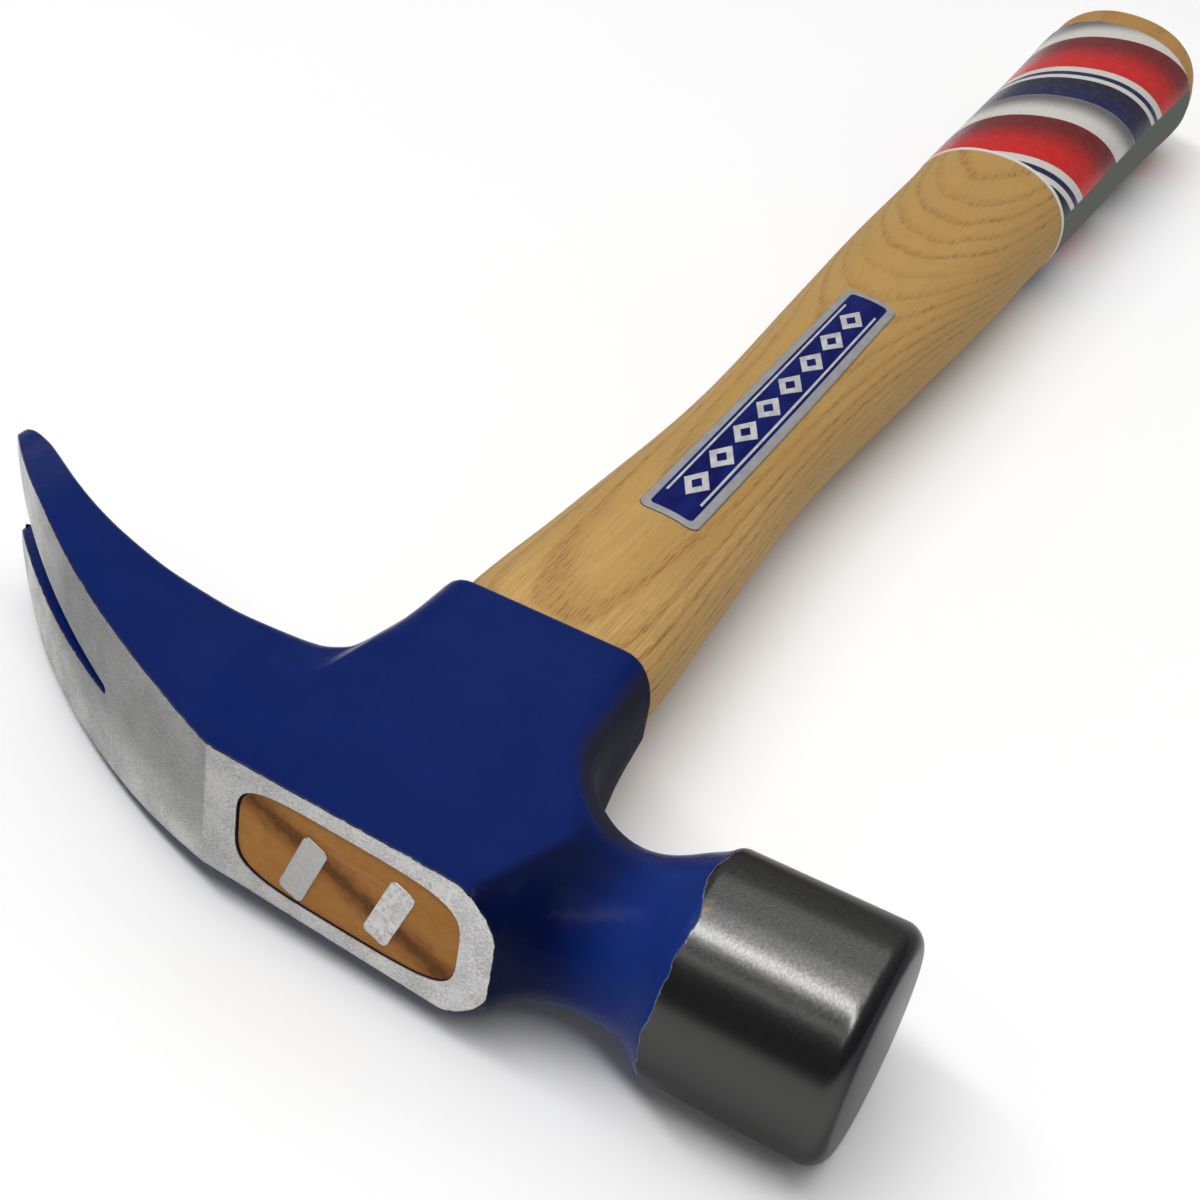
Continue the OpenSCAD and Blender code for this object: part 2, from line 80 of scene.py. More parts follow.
# Cheeks, skirt and ground top
HEAD_DEPTH = 45.0
SKIRT_HALF = 12.6
REAR_HALF = 9.4
FRONT_HALF = 10.2
CHEEK_HALF = 11.16
SKIRT_FRONT = 17.6
SKIRT_BACK = 14.0
SKIRT_CORNER = 4.0
FRONT_BOW = 8.0
REAR_BOW = 5.0
REAR_FLAT = 7.6
FRONT_FLAT = 4.6
TOP_FRONT = 22.0
CHAMFER = 15.6
GRIND = 1.5
TOP_SLOPE = math.tan(math.radians(4.0))

# Claw and throat
CREASE = -19.4
CLAW_REACH = 80.0
CLAW_FALL = 37.6
CLAW_ARC_RADIUS = 143.0
CLAW_HALF = 12.2
TIP_HALF = 9.0
CLAW_MID = 11.2
CLAW_TIP = 2.0
THROAT_DEPTH = 24.2
THROAT_FILL = 1.7
SLOT_ROOT = -42.0
SLOT_MIDDLE = -67.33
SLOT_ROOT_HALF = 0.6
SLOT_MIDDLE_HALF = 3.1
SLOT_TIP_HALF = 5.1

# Roundings of the head's sections and how far down their sides bend, as shares
GROUND_ROUND = 0.05
RIM_ROUND = 0.06
FORGED_ROUND = 0.25
OVAL = 0.94
BEND = 0.55
LOWEST_BEND = 0.9

# Eye and wedges
EYE_SHIFT = 1.4
WEDGE_TURN = math.radians(19.0)
STEEL_WEDGE_WIDTH = 10.6
STEEL_WEDGE_THICKNESS = 3.7
STEEL_WEDGE_DEPTH = 23.0
STEEL_WEDGE_CORNER = 0.8
STEEL_WEDGE_EDGE = 0.16
STEEL_WEDGE_TAPER = 1 / 6
STEEL_RECESS = 0.15
WOOD_RECESS = 0.35
# Each steel wedge's place along the eye and across it
STEEL_WEDGES = {"steel_wedge_front": (6.34, -0.47), "steel_wedge_rear": (-6.06, -1.457)}

# Handle and films
HANDLE_START = -4.0
BUTT_RADIUS = 3.0
LABEL_CENTRE = (2.0, 118.25)
LABEL_WIDTH = 9.6
LABEL_LENGTH = 80.5
LABEL_TURN = math.radians(0.5)
LABEL_CORNER = 1.6
SLEEVE_START = 230.5
SLEEVE_END = 320.5

# Where the handle's axis meets the head's top, in millimetres of the part's own frame
HEAD_LOW, HEAD_HIGH = (np.array(corner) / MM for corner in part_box("head"))
HANDLE_HIGH = np.array(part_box("handle")[1]) / MM
AXIS = np.array(
    [
        HEAD_HIGH[0] - FACE_REACH - FACE_CROWN,
        HANDLE_HIGH[1] - OVERALL_LENGTH,
        (HEAD_LOW[2] + HEAD_HIGH[2]) / 2,
    ]
)


# Curves and tables
def between(low, high, share):
    """The value at a share of the way from low to high."""
    return low + (high - low) * share


def ramp(values, low, high):
    """How far values are from low to high, held between 0 and 1."""
    return np.clip((values - low) / (high - low), 0, 1)


def smooth(places, values, wanted):
    """A curve through the values that rises and falls only where they do."""
    places = np.asarray(places, float)
    values = np.asarray(values, float)
    steps = np.diff(places)
    slopes = np.diff(values) / steps
    together = slopes[:-1] * slopes[1:] > 0
    total = np.where(together, slopes[:-1] + slopes[1:], 1.0)
    inner = np.where(together, 2 * slopes[:-1] * slopes[1:] / total, 0.0)
    tangents = np.concatenate([slopes[:1], inner, slopes[-1:]])
    at = np.clip(np.searchsorted(places, wanted, side="right") - 1, 0, len(steps) - 1)
    s = (np.asarray(wanted, float) - places[at]) / steps[at]
    start = values[at] * (1 + 2 * s) + steps[at] * tangents[at] * s
    end = values[at + 1] * (3 - 2 * s) - steps[at] * tangents[at + 1] * (1 - s)
    return start * (1 - s) ** 2 + end * s * s


def soften(values, reach):
    """The values averaged over a bell of that many samples, straight on at the ends."""
    span = int(3 * reach)
    bell = np.exp(-0.5 * (np.arange(-span, span + 1) / reach) ** 2)
    padded = np.pad(values, span, mode="reflect", reflect_type="odd")
    return np.convolve(padded, bell / bell.sum(), mode="valid")


def lengths_along(points):
    """How far along a line of points each one is."""
    return np.concatenate([[0.0], np.cumsum(np.linalg.norm(np.diff(points, axis=0), axis=1))])


def spread(points, wanted):
    """Points at the wanted distances along a line of points."""
    along = lengths_along(points)
    return np.stack([np.interp(wanted, along, points[:, c]) for c in range(points.shape[1])], axis=1)


def ground_line(x):
    """Depth of the ground top at a place along the head: a slope, then the claw's arc."""
    x = np.asarray(x, float)
    crease = np.array([CREASE, -CREASE * TOP_SLOPE])
    chord = np.array([-CLAW_REACH - CREASE, CLAW_FALL])
    size = np.linalg.norm(chord)
    lift = math.sqrt(CLAW_ARC_RADIUS**2 - (size / 2) ** 2)
    centre = crease + chord / 2 + lift / size * np.array([chord[1], -chord[0]])
    inside = np.maximum(CLAW_ARC_RADIUS**2 - (x - centre[0]) ** 2, 0)
    # The arc's centre lies on the handle's side, so the ground face bulges away from it
    arc = centre[1] - np.sqrt(inside)
    return np.where(x > CREASE, -x * TOP_SLOPE, arc)


def slot_half(x):
    """Half the width of the slot between the tines, 0 past its round root."""
    x = np.asarray(x, float)
    places = [-CLAW_REACH, SLOT_MIDDLE, SLOT_ROOT]
    halves = [SLOT_TIP_HALF, SLOT_MIDDLE_HALF, SLOT_ROOT_HALF]
    open_half = smooth(places, halves, np.minimum(x, SLOT_ROOT))
    round_half = np.sqrt(np.maximum(SLOT_ROOT_HALF**2 - np.maximum(x - SLOT_ROOT, 0) ** 2, 0))
    return np.where(x <= SLOT_ROOT, open_half, round_half)


# The head's sections: place, top, bottom, three half widths, two roundings
def claw_rows():
    """Sections of the claw from its tips to the crease."""
    start = THROAT_DEPTH + THROAT_FILL + CREASE * TOP_SLOPE
    shares = [0, 0.2, 0.5, 0.68, 0.84, 0.93, 1]
    thick = [start, between(CLAW_MID, THROAT_DEPTH, 0.5), CLAW_MID, CLAW_MID * 0.73]
    thick += [CLAW_MID * 0.6, CLAW_TIP * 2.75, CLAW_TIP * 2.2]
    wide = [REAR_HALF, between(REAR_HALF, CLAW_HALF, 0.55), between(REAR_HALF, CLAW_HALF, 0.9)]
    wide += [CLAW_HALF, between(CLAW_HALF, TIP_HALF, 0.5)]
    wide += [between(CLAW_HALF, TIP_HALF, 0.9), TIP_HALF]
    rows = []
    for share in (1, 0.985, 0.97, 0.93, 0.84, 0.68, 0.5, 0.34, 0.2, 0.1):
        x = -between(-CREASE, CLAW_REACH, share)
        half = float(smooth(shares, wide, share))
        lower = half + 0.5 * (1 - share)
        ground = float(ground_line(x))
        bottom = ground + float(smooth(shares, thick, share))
        rows.append([x, ground - GRIND, bottom, half, lower, lower, GROUND_ROUND, FORGED_ROUND])
    return rows


def neck_squeeze(x):
    """How wide the neck is beside its depth: full at the cheeks and at the barrel."""
    places = [SQUEEZE_START, SQUEEZE_MIDDLE, POLL_BACK]
    return float(smooth(places, [1, NECK_SQUEEZE, 1], np.clip(x, SQUEEZE_START, POLL_BACK)))


def cheek_row(x, bottom, bottom_half, bottom_round):
    """One section of the cheeks, between the crease and the neck."""
    along = ramp(x, CREASE, CHAMFER)
    past = (x - CHAMFER) / (TOP_FRONT - CHAMFER)
    rise = GRIND * min(1, 1 - past)
    top_half = between(REAR_HALF, FRONT_HALF, along)
    top_round = max(GROUND_ROUND, 0.6 * past)
    top = float(ground_line(x)) - rise
    middle_half = CHEEK_HALF * neck_squeeze(x)
    bottom_half *= neck_squeeze(x)
    return [x, top, bottom, top_half, middle_half, bottom_half, top_round, bottom_round]


def round_row(x, depth, radius, rounding):
    """One near-round section of the neck."""
    half = radius * neck_squeeze(x)
    return [x, depth - radius, depth + radius, half, half, half, rounding, rounding]


def head_table():
    """Every section that the head is drawn through, from the claw's tips to the neck's end."""
    rows = claw_rows()
    # The throat and the wall behind the skirt: share back, share up, width and rounding
    throat = [(1, 0.918, 0.5, 0.25), (0.66, 0.85, 0.3, 0.25)]
    for out, down, extra, rounding in throat:
        x = between(-SKIRT_BACK, CREASE, out)
        depth = between(HEAD_DEPTH, THROAT_DEPTH, down)
        rows.append(cheek_row(x, depth, REAR_HALF + extra, rounding))
    rear = [(0.47, 0.76, 0.85, 0.25), (0.33, 0.62, 0.65, 0.2), (0.2, 0.38, 0.4, 0.12)]
    rear += [(0.07, 0.1, 0.1, 0.08)]
    for out, down, wide, rounding in rear:
        x = between(-SKIRT_BACK, CREASE, out)
        depth = between(HEAD_DEPTH, THROAT_DEPTH, down)
        rows.append(cheek_row(x, depth, between(REAR_FLAT, REAR_HALF, wide), rounding))
    # The skirt's rim between its bowed rear and front corners
    shares = (0, 0.05, 0.14, 0.3, 0.55, 1)
    for share in shares:
        half = SKIRT_HALF - REAR_BOW * (1 - math.sqrt(1 - (1 - share) ** 2))
        rows.append(cheek_row(-SKIRT_BACK + share * SKIRT_CORNER, HEAD_DEPTH, half, RIM_ROUND))
    for share in reversed(shares):
        half = SKIRT_HALF - FRONT_BOW * (1 - math.sqrt(1 - (1 - share) ** 2))
        rows.append(cheek_row(SKIRT_FRONT - share * SKIRT_CORNER, HEAD_DEPTH, half, RIM_ROUND))
    # The front wall up to the neck's root, then the neck
    front = [(0.02, 0.1, 0.1, 0.08), (0.05, 0.45, 0.35, 0.14), (0.1, 0.68, 0.55, 0.22)]
    front += [(0.2, 0.83, 0.75, 0.34), (0.46, 0.94, 0.9, 0.5), (1, 1, 1, 0.7)]
    for out, down, wide, rounding in front:
        x = between(SKIRT_FRONT, TOP_FRONT, out)
        depth = between(HEAD_DEPTH, ROOT_FLOOR, down)
        rows.append(cheek_row(x, depth, between(FRONT_FLAT, NECK_RADIUS, wide), rounding))
    root_at = between(TOP_FRONT, POLL_BACK, 0.13)
    root = (NECK_RADIUS + 0.4) * neck_squeeze(root_at)
    floor = between(NECK_FLOOR, ROOT_FLOOR, 0.5)
    rows.append([root_at, 0, floor, root, root, root, 0.8, 0.85])
    neck = [(0.28, 1.3, 0.2, 0.92), (0.45, 1, 0, OVAL), (0.64, 0.5, 0.1, OVAL)]
    neck += [(0.86, -0.25, 0.55, 1.0), (0.97, 0, 0.88, 1.0)]
    for share, lift, flare, rounding in neck:
        x = between(TOP_FRONT, POLL_BACK, share)
        radius = between(NECK_RADIUS, NECK_END_RADIUS, flare)
        rows.append(round_row(x, POLL_AXIS_DEPTH - NECK_LIFT * lift, radius, rounding))
    return np.array(rows, float)


# The head's mesh: points across its sections, and what softens and wears it
TOP_POINTS = 11
SIDE_POINTS = 28
ARC_POINTS = 16
FLOOR_POINTS = 9
WALL_POINTS = 7
BEVEL_POINTS = 2
CORNER_SAMPLES = 25
SIDE_SAMPLES = 60
SECTION_STEP = 0.2
SECTION_BLUR = 0.7
WIDTH_WEIGHT = 0.6
ROW_STEP = 1.0
ROW_CLEAR = 0.18
GROUND_CLEAR = 0.02
TIP_ROUNDING = 8.0
TIP_LIFT = 0.44
TIP_DRAW = 0.2
TIP_SPLAY = 0.08
FRONT_PASSES = 14
FRONT_PULL = 0.8
FAR_WEAR = 1.5
FAR_SHORT = 3.0
# Where the bare wall under the neck starts, as depths and places along the head; it takes dark scale
# with painted shade
WALL_EDGE = [(17.0, 24.6), (19.8, 20.6), (22.7, 18.3), (25.7, 16.8), (29.7, 15.9), (45.0, 15.4)]


def dense_sections():
    """The head's sections every fraction of a millimetre along its lower outline, softened."""
    table = head_table()
    outline = np.stack([table[:, 0], table[:, 2], WIDTH_WEIGHT * table[:, 5]], axis=1)
    keys = lengths_along(outline)
    places = np.arange(0, keys[-1], SECTION_STEP)
    columns = [smooth(keys, table[:, c], places) for c in range(table.shape[1])]
    return np.stack([soften(column, SECTION_BLUR / SECTION_STEP) for column in columns], axis=1)


def section_at(sections, along, place):
    """The section at a place along the dense ones."""
    return np.array([np.interp(place, along, column) for column in sections.T])


def side_line(section):
    """Depths and half widths down one side of a section, and where its lower corner starts."""
    x, top, bottom, top_half, middle, bottom_half, upper, lower = section
    bend = BEND
    if x >= 0:
        # Ahead of the handle's axis the sides bend at one depth, however shallow the section is
        bend = min(max(BEND, BEND * (HEAD_DEPTH - top) / (bottom - top)), LOWEST_BEND)
    turn = np.radians(np.linspace(90, 0, CORNER_SAMPLES))
    sides = np.linspace(upper / 2, 1 - lower / 2, SIDE_SAMPLES)[1:-1]
    back = turn[::-1]
    down = [upper / 2 * (1 - np.sin(turn)), sides, 1 - lower / 2 * (1 - np.sin(back))]
    pull = [1 - upper * (1 - np.cos(turn)), np.ones(len(sides)), 1 - lower * (1 - np.cos(back))]
    share = np.concatenate(down)
    half = smooth([0, bend, 1], [top_half, middle, bottom_half], share) * np.concatenate(pull)
    return np.stack([top + (bottom - top) * share, half], axis=1), len(turn) + len(sides)


def arc_between(start, corner, end, count):
    """Points inside a small rounded edge."""
    share = np.linspace(0, 1, count + 2)[1:-1, None]
    return (1 - share) ** 2 * start + 2 * share * (1 - share) * corner + share**2 * end


def ground_section(section, bevel):
    """Half of a section that has the ground top: its outline's columns and the slot's wall."""
    x = section[0]
    top = float(ground_line(x))
    section = section.copy()
    section[1] = min(section[1], top - GROUND_CLEAR)
    line, corner_at = side_line(section)
    first = int(np.searchsorted(line[:, 0], top))
    share = (top - line[first - 1, 0]) / (line[first, 0] - line[first - 1, 0])
    edge = np.array([top, between(line[first - 1, 1], line[first, 1], share)])
    line = np.vstack([edge, line[first:]])
    corner_at -= first - 1
    from_tip = x + CLAW_REACH
    slot = float(slot_half(x))
    if from_tip < TIP_ROUNDING:
        pull = TIP_ROUNDING - math.sqrt(TIP_ROUNDING**2 - (TIP_ROUNDING - from_tip) ** 2)
        line[:, 1] -= TIP_DRAW * pull
        line[:, 0] -= TIP_LIFT * pull * (line[:, 0] - top) / (line[-1, 0] - top)
        slot += TIP_SPLAY * pull
        edge = line[0]
    slot_bevel = min(bevel, slot * 0.5)
    inner = slot + slot_bevel
    along = lengths_along(line)
    inner_edge = np.array([top, edge[1] - bevel])
    outer_edge = spread(line, [bevel])
    widths = np.linspace(inner, inner_edge[1], TOP_POINTS)
    tops = np.stack([np.full(TOP_POINTS, top), widths], axis=1)
    rounding = arc_between(inner_edge, edge, outer_edge, BEVEL_POINTS)
    sides = spread(line, np.linspace(bevel, along[corner_at], SIDE_POINTS))
    corner = spread(line, np.linspace(along[corner_at], along[-1], ARC_POINTS)[1:])
    depth = line[-1, 0]
    widths = np.linspace(line[-1, 1], inner, FLOOR_POINTS)[1:]
    floor = np.stack([np.full(len(widths), depth), widths], axis=1)
    outline = np.vstack([tops, rounding, sides, corner, floor])
    if slot <= 0:
        return outline, None
    upper = np.array([top + slot_bevel, slot])
    lower = np.array([depth - slot_bevel, slot])
    wall = np.linspace(upper, lower, WALL_POINTS)
    over = arc_between(outline[0], np.array([top, slot]), upper, BEVEL_POINTS)
    under = arc_between(lower, np.array([depth, slot]), outline[-1], BEVEL_POINTS)
    return outline, np.vstack([outline[:1], over, wall, under, outline[-1:]])


def head_places(sections):
    """Distances along the dense sections where the mesh has its rows."""
    total = (len(sections) - 1) * SECTION_STEP
    along = np.arange(len(sections)) * SECTION_STEP
    x = sections[:, 0]
    places = list(np.linspace(0, total, int(total / ROW_STEP)))
    marks = [-CLAW_REACH + d for d in (0.0, 0.1, 0.3, 0.6, 1.0, 1.5, 2.1, 2.8, 3.6, 4.4, 5.4, 6.6)]
    marks += [SLOT_ROOT + SLOT_ROOT_HALF * f for f in (-0.8, -0.4, 0, 0.4, 0.7, 0.88, 0.97, 1.0)]
    marks += [CREASE + d for d in (-0.7, -0.3, 0, 0.3, 0.7)]
    marks += [TOP_FRONT + d for d in (-0.8, -0.4, -0.02, 0.02, 0.4, 0.8)]
    marked = np.interp(marks, x, along)
    free = [p for p in places if np.min(np.abs(marked - p)) > ROW_CLEAR]
    return np.sort(np.concatenate([free, marked])), along


def barrel_profile():
    """Places and radii along the striking barrel, from behind its back rounding to its crown."""
    rows = []
    for angle in np.radians([35, 50, 65, 78, 90]):
        x = POLL_BACK + POLL_BACK_ROUNDING * (1 - math.cos(angle))
        rows.append((x, POLL_BACK_RADIUS - POLL_BACK_ROUNDING * (1 - math.sin(angle))))
    edge_start = FACE_REACH - FACE_EDGE
    for share in np.linspace(0, 1, 16)[1:]:
        x = between(rows[4][0], edge_start, share)
        rows.append((x, between(POLL_BACK_RADIUS, POLL_RADIUS, share)))
    for angle in np.radians(np.linspace(0, 84, 13)[1:]):
        x = edge_start + FACE_EDGE * math.sin(angle)
        rows.append((x, POLL_RADIUS - FACE_EDGE * (1 - math.cos(angle))))
    rim_x, rim_radius = rows[-1]
    for share in np.linspace(1, 0, 9)[1:]:
        x = between(FACE_REACH + FACE_CROWN, rim_x, share**2)
        rows.append((x, rim_radius * share))
    return rows


def soften_front(rows):
    """Rounds the cheeks' front edges into the wall and the neck's root, as a forging's are."""
    places = np.array([[(x, depth, half) for depth, half in outline] for x, outline in rows])
    x = places[..., 0]
    depth = places[..., 1]
    sunk = depth - ground_line(np.minimum(x, TOP_FRONT))
    # Only the front wall and the neck move, away from the ground top, the rim and the barrel
    free = ramp(x, 10, 15) * ramp(x, 36, 30) * ramp(sunk, 1.5, 6)
    free *= ramp(depth, HEAD_DEPTH, HEAD_DEPTH - 2.5)
    middle = places[..., 2] == 0
    for _ in range(FRONT_PASSES):
        near = np.pad(places, ((1, 1), (1, 1), (0, 0)), mode="edge")
        around = (near[:-2, 1:-1] + near[2:, 1:-1] + near[1:-1, :-2] + near[1:-1, 2:]) / 4
        places += FRONT_PULL * free[..., None] * (around - places)
        places[middle, 2] = 0.0
    return places


def far_wear(points):
    """The far side's wear: its front rim drawn in, and its tine shorter along the claw's arc."""
    moved = points.copy()
    x, depth, height = np.moveaxis(points, -1, 0)
    rim = ramp(height, 0, -6) * ramp(depth, 34, 44) * ramp(x, 12, 17)
    short = FAR_SHORT * ramp(height, 0, -2) * ramp(x, -66, -CLAW_REACH)
    moved[..., 0] += short - FAR_WEAR * rim
    moved[..., 1] += np.where(short > 0, ground_line(x + short) - ground_line(x), 0)
    return moved


def head_mesh(bevel):
    """The forged head without its eye, as rows of half sections mirrored about the middle."""
    sections = dense_sections()
    places, along = head_places(sections)
    rows = []
    walls = []
    slot_closed = False
    shares = None
    for place in places:
        section = section_at(sections, along, place)
        x = section[0]
        if x <= TOP_FRONT:
            outline, wall = ground_section(section, bevel)
            shares = lengths_along(outline) / lengths_along(outline)[-1]
            if wall is None and not slot_closed:
                # The slot's root closes on the middle
                wall = np.linspace(outline[0], outline[-1], len(walls[-1][1]))
                slot_closed = True
            if wall is not None:
                walls.append((x, wall))
        else:
            # The columns spread out evenly on the way to the round barrel
            line = side_line(section)[0]
            line = np.vstack([[line[0, 0], 0.0], line, [line[-1, 0], 0.0]])
            even = np.linspace(0, 1, len(shares))
            past = ramp(x, TOP_FRONT, POLL_BACK)
            wanted = between(shares, even, past * past * (3 - 2 * past))
            outline = spread(line, wanted * lengths_along(line)[-1])
        rows.append((x, outline))
    turn = np.pi * np.linspace(0, 1, len(shares))
    for x, radius in barrel_profile():
        if x > rows[-1][0] + 0.05 or radius < POLL_BACK_RADIUS - 1:
            ring = [POLL_AXIS_DEPTH - radius * np.cos(turn), radius * np.sin(turn)]
            rows.append((x, np.stack(ring, axis=1)))
    points = []
    faces = []
    walls = np.array([[(x, depth, half) for depth, half in wall] for x, wall in walls])
    rows = soften_front(rows)
    tip = np.vstack([rows[0], walls[0][-2:0:-1]])
    for side in (1, -1):
        base = len(points)
        count = len(tip)
        points += far_wear(np.vstack([tip, tip.mean(axis=0)]) * np.array([1, 1, side])).tolist()
        faces += [(base + i, base + (i + 1) % count, base + count) for i in range(count)]
    for strip in (rows, walls):
        for side in (1, -1):
            base = len(points)
            points += far_wear(strip * np.array([1, 1, side])).reshape(-1, 3).tolist()
            faces += grid_faces(base, *strip.shape[:2])
    return mesh_from("head_blank", points, faces)


# Mesh making
def grid_faces(base, rows, columns, closed=False):
    """Faces between rows of points, closed round the columns where that is asked."""
    faces = []
    for row in range(rows - 1):
        for column in range(columns if closed else columns - 1):
            near = base + row * columns
            far = near + columns
            beside = (column + 1) % columns
            faces.append((near + column, near + beside, far + beside, far + column))
    return faces


def mesh_from(name, points, faces, weld=True):
    """A closed mesh from points in millimetres of the head's frame, welded and facing outwards."""
    mesh = bpy.data.meshes.new(name)
    placed = (np.asarray(points, float) + AXIS) * MM
    mesh.from_pydata(placed.tolist(), [], faces)
    if weld:
        tidy_mesh(mesh)
    return mesh


def tidy_mesh(mesh, gap=2e-7):
    """Welds doubles, closes open loops and turns the faces outwards."""
    work = bmesh.new()
    work.from_mesh(mesh)
    bmesh.ops.remove_doubles(work, verts=work.verts, dist=gap)
    bmesh.ops.dissolve_degenerate(work, edges=work.edges, dist=gap)
    open_edges = [edge for edge in work.edges if edge.is_boundary]
    if open_edges:
        bmesh.ops.holes_fill(work, edges=open_edges, sides=0)
    bmesh.ops.recalc_face_normals(work, faces=work.faces)
    work.to_mesh(mesh)
    work.free()


def store_points(mesh, name, values):
    """Stores a number on each point of a mesh."""
    store = mesh.attributes.new(name, "FLOAT", "POINT")
    store.data.foreach_set("value", np.asarray(values, np.float32))


def new_object(name, mesh):
    """An object at the origin that shows a mesh."""
    made = bpy.data.objects.new(name, mesh)
    bpy.context.scene.collection.objects.link(made)
    return made


def settled(piece):
    """Turns a piece's evaluated modifiers into its plain mesh."""
    graph = bpy.context.evaluated_depsgraph_get()
    mesh = bpy.data.meshes.new_from_object(piece.evaluated_get(graph))
    piece.modifiers.clear()
    old = piece.data
    piece.data = mesh
    bpy.data.meshes.remove(old)


def cut(piece, cutter_mesh):
    """Takes a closed mesh away from a piece."""
    cutter = new_object("cutter", cutter_mesh)
    step = piece.modifiers.new("cut", "BOOLEAN")
    step.operation = "DIFFERENCE"
    step.solver = "EXACT"
    step.object = cutter
    settled(piece)
    bpy.data.objects.remove(cutter)
    bpy.data.meshes.remove(cutter_mesh)


# Angles in degrees past which an edge stays crisp
HEAD_CRISP = 42
WOOD_CRISP = 40
WEDGE_CRISP = 40
FILM_CRISP = 60


def shade(mesh, angle):
    """Smooth shading with edges sharper than an angle kept crisp."""
    mesh.shade_smooth()
    mesh.set_sharp_from_angle(angle=math.radians(angle))


def place_piece(piece, node):
    """Puts a finished piece on the body in place of its CAD node."""
    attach(piece, "root")
    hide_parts(node)


# The handle's sections: place, half width, half thickness, squareness, forward
HANDLE_SIDES = 112


def handle_rows():
    """Sections of the handle from above the eye to the start of its rounded butt."""
    rows = [(HANDLE_START, 16.5, 7.4, 4.2, EYE_SHIFT), (0, 16, 7.2, 4.2, EYE_SHIFT)]
    rows += [(16, 13.7, 6.7, 3.8, EYE_SHIFT), (30.5, 13.35, 7.95, 3.2, EYE_SHIFT)]
    rows += [(45.6, 13, 9.2, 2.7, EYE_SHIFT), (47.6, 14.68, 9.76, 2.5, 0.42)]
    shoulder = (53, 15.4, 10)
    waist = (117, 11.9, 10.7)
    grip = (222, 15.6, 12)
    butt = (321.5, 18.4, 13.8)
    rows.append((*shoulder, 2.4, 0))
    spans = [(shoulder, waist, [(0.38, 0.4, 0.3)])]
    spans += [(waist, grip, [(0.43, 0.5, 0.5), (0.76, 0.9, 0.8)])]
    spans += [(grip, butt, [(0.1, 0.08, 0.25), (0.73, 0.6, 0.78)])]
    for start, end, steps in spans:
        for along, wide, thick in steps:
            shares = (along, wide, thick)
            rows.append((*(between(a, b, s) for a, b, s in zip(start, end, shares)), 2.2, 0))
        rows.append((*end, 2.2, 0))
    rows.append((OVERALL_LENGTH, 17.3, 13.8, 2.2, -1.1))
    return np.array(rows, float)


def handle_ring(row, inset=0.0, sides=HANDLE_SIDES):
    """One closed outline of the handle, drawn in by an inset."""
    depth, half_width, half_thickness, square, forward = row
    turn = 2 * np.pi * np.arange(sides) / sides
    power = 2 / square
    across = np.sign(np.cos(turn)) * np.abs(np.cos(turn)) ** power
    up = np.sign(np.sin(turn)) * np.abs(np.sin(turn)) ** power
    x = forward + (half_width - inset) * across
    return np.stack([x, np.full(sides, depth), (half_thickness - inset) * up], axis=1)


def handle_sections(depths):
    """The handle's section values at the depths asked for, softened along its length."""
    table = handle_rows()
    fine = np.arange(HANDLE_START, OVERALL_LENGTH + 0.25, 0.25)
    columns = [smooth(table[:, 0], table[:, c], fine) for c in range(1, 5)]
    columns = [soften(column, 5) for column in columns]
    found = [np.interp(depths, fine, column) for column in columns]
    return np.stack([depths, *found], axis=1)


def handle_mesh():
    """The whole handle, its eye end cut along the head's top."""
    straight_end = OVERALL_LENGTH - BUTT_RADIUS
    depths = np.concatenate([np.arange(HANDLE_START, 60, 1.0), np.arange(60, straight_end + 0.01, 1.5)])
    points = [handle_ring(row) for row in handle_sections(depths)]
    last = handle_sections(np.array([straight_end]))[0]
    for angle in np.radians(np.linspace(0, 90, 8)[1:]):
        row = last.copy()
        row[0] = OVERALL_LENGTH - BUTT_RADIUS * (1 - math.sin(angle))
        points.append(handle_ring(row, BUTT_RADIUS * (1 - math.cos(angle))))
    rim = points[-1]
    middle = rim.mean(axis=0)
    for share in (0.85, 0.6, 0.3, 0.0):
        points.append(middle + (rim - middle) * share)
    faces = grid_faces(0, len(points), HANDLE_SIDES, True)
    mesh = mesh_from("handle_blank", np.vstack(points), faces)
    work = bmesh.new()
    work.from_mesh(mesh)
    parts = work.verts[:] + work.edges[:] + work.faces[:]
    level = Vector((AXIS + np.array([0, WOOD_RECESS, 0])) * MM)
    bmesh.ops.bisect_plane(
        work, geom=parts, plane_co=level, plane_no=Vector((TOP_SLOPE, 1, 0)), clear_inner=True
    )
    work.to_mesh(mesh)
    work.free()
    tidy_mesh(mesh)
    return mesh


def eye_cutter(gap, chamfer):
    """The eye's space in the head: the handle's outline with a small gap and a broken top edge."""
    rows = []
    levels = [(-2.0, chamfer + 2.0), (0.0, chamfer), (chamfer, gap), (6.0, gap)]
    for depth, out in levels:
        ring = handle_ring(handle_sections(np.array([depth]))[0], -out)
        ring[:, 1] -= ring[:, 0] * TOP_SLOPE
        rows.append(ring)
    for row in handle_sections(np.array([10.0, 16, 22, 28, 34, 40, 47])):
        rows.append(handle_ring(row, -gap * 0.3))
    return mesh_from("eye_space", np.vstack(rows), grid_faces(0, len(rows), HANDLE_SIDES, True))


def wedge_outline():
    """The outline of a steel wedge's struck end: a long rounded box."""
    outline = []
    for quarter in range(4):
        centre_u = (STEEL_WEDGE_THICKNESS / 2 - STEEL_WEDGE_CORNER) * (1 if quarter in (0, 3) else -1)
        centre_v = (STEEL_WEDGE_WIDTH / 2 - STEEL_WEDGE_CORNER) * (1 if quarter in (0, 1) else -1)
        for angle in np.radians(np.linspace(0, 90, 6)) + quarter * np.pi / 2:
            u = centre_u + STEEL_WEDGE_CORNER * math.cos(angle)
            outline.append((u, centre_v + STEEL_WEDGE_CORNER * math.sin(angle)))
    return np.array(outline)


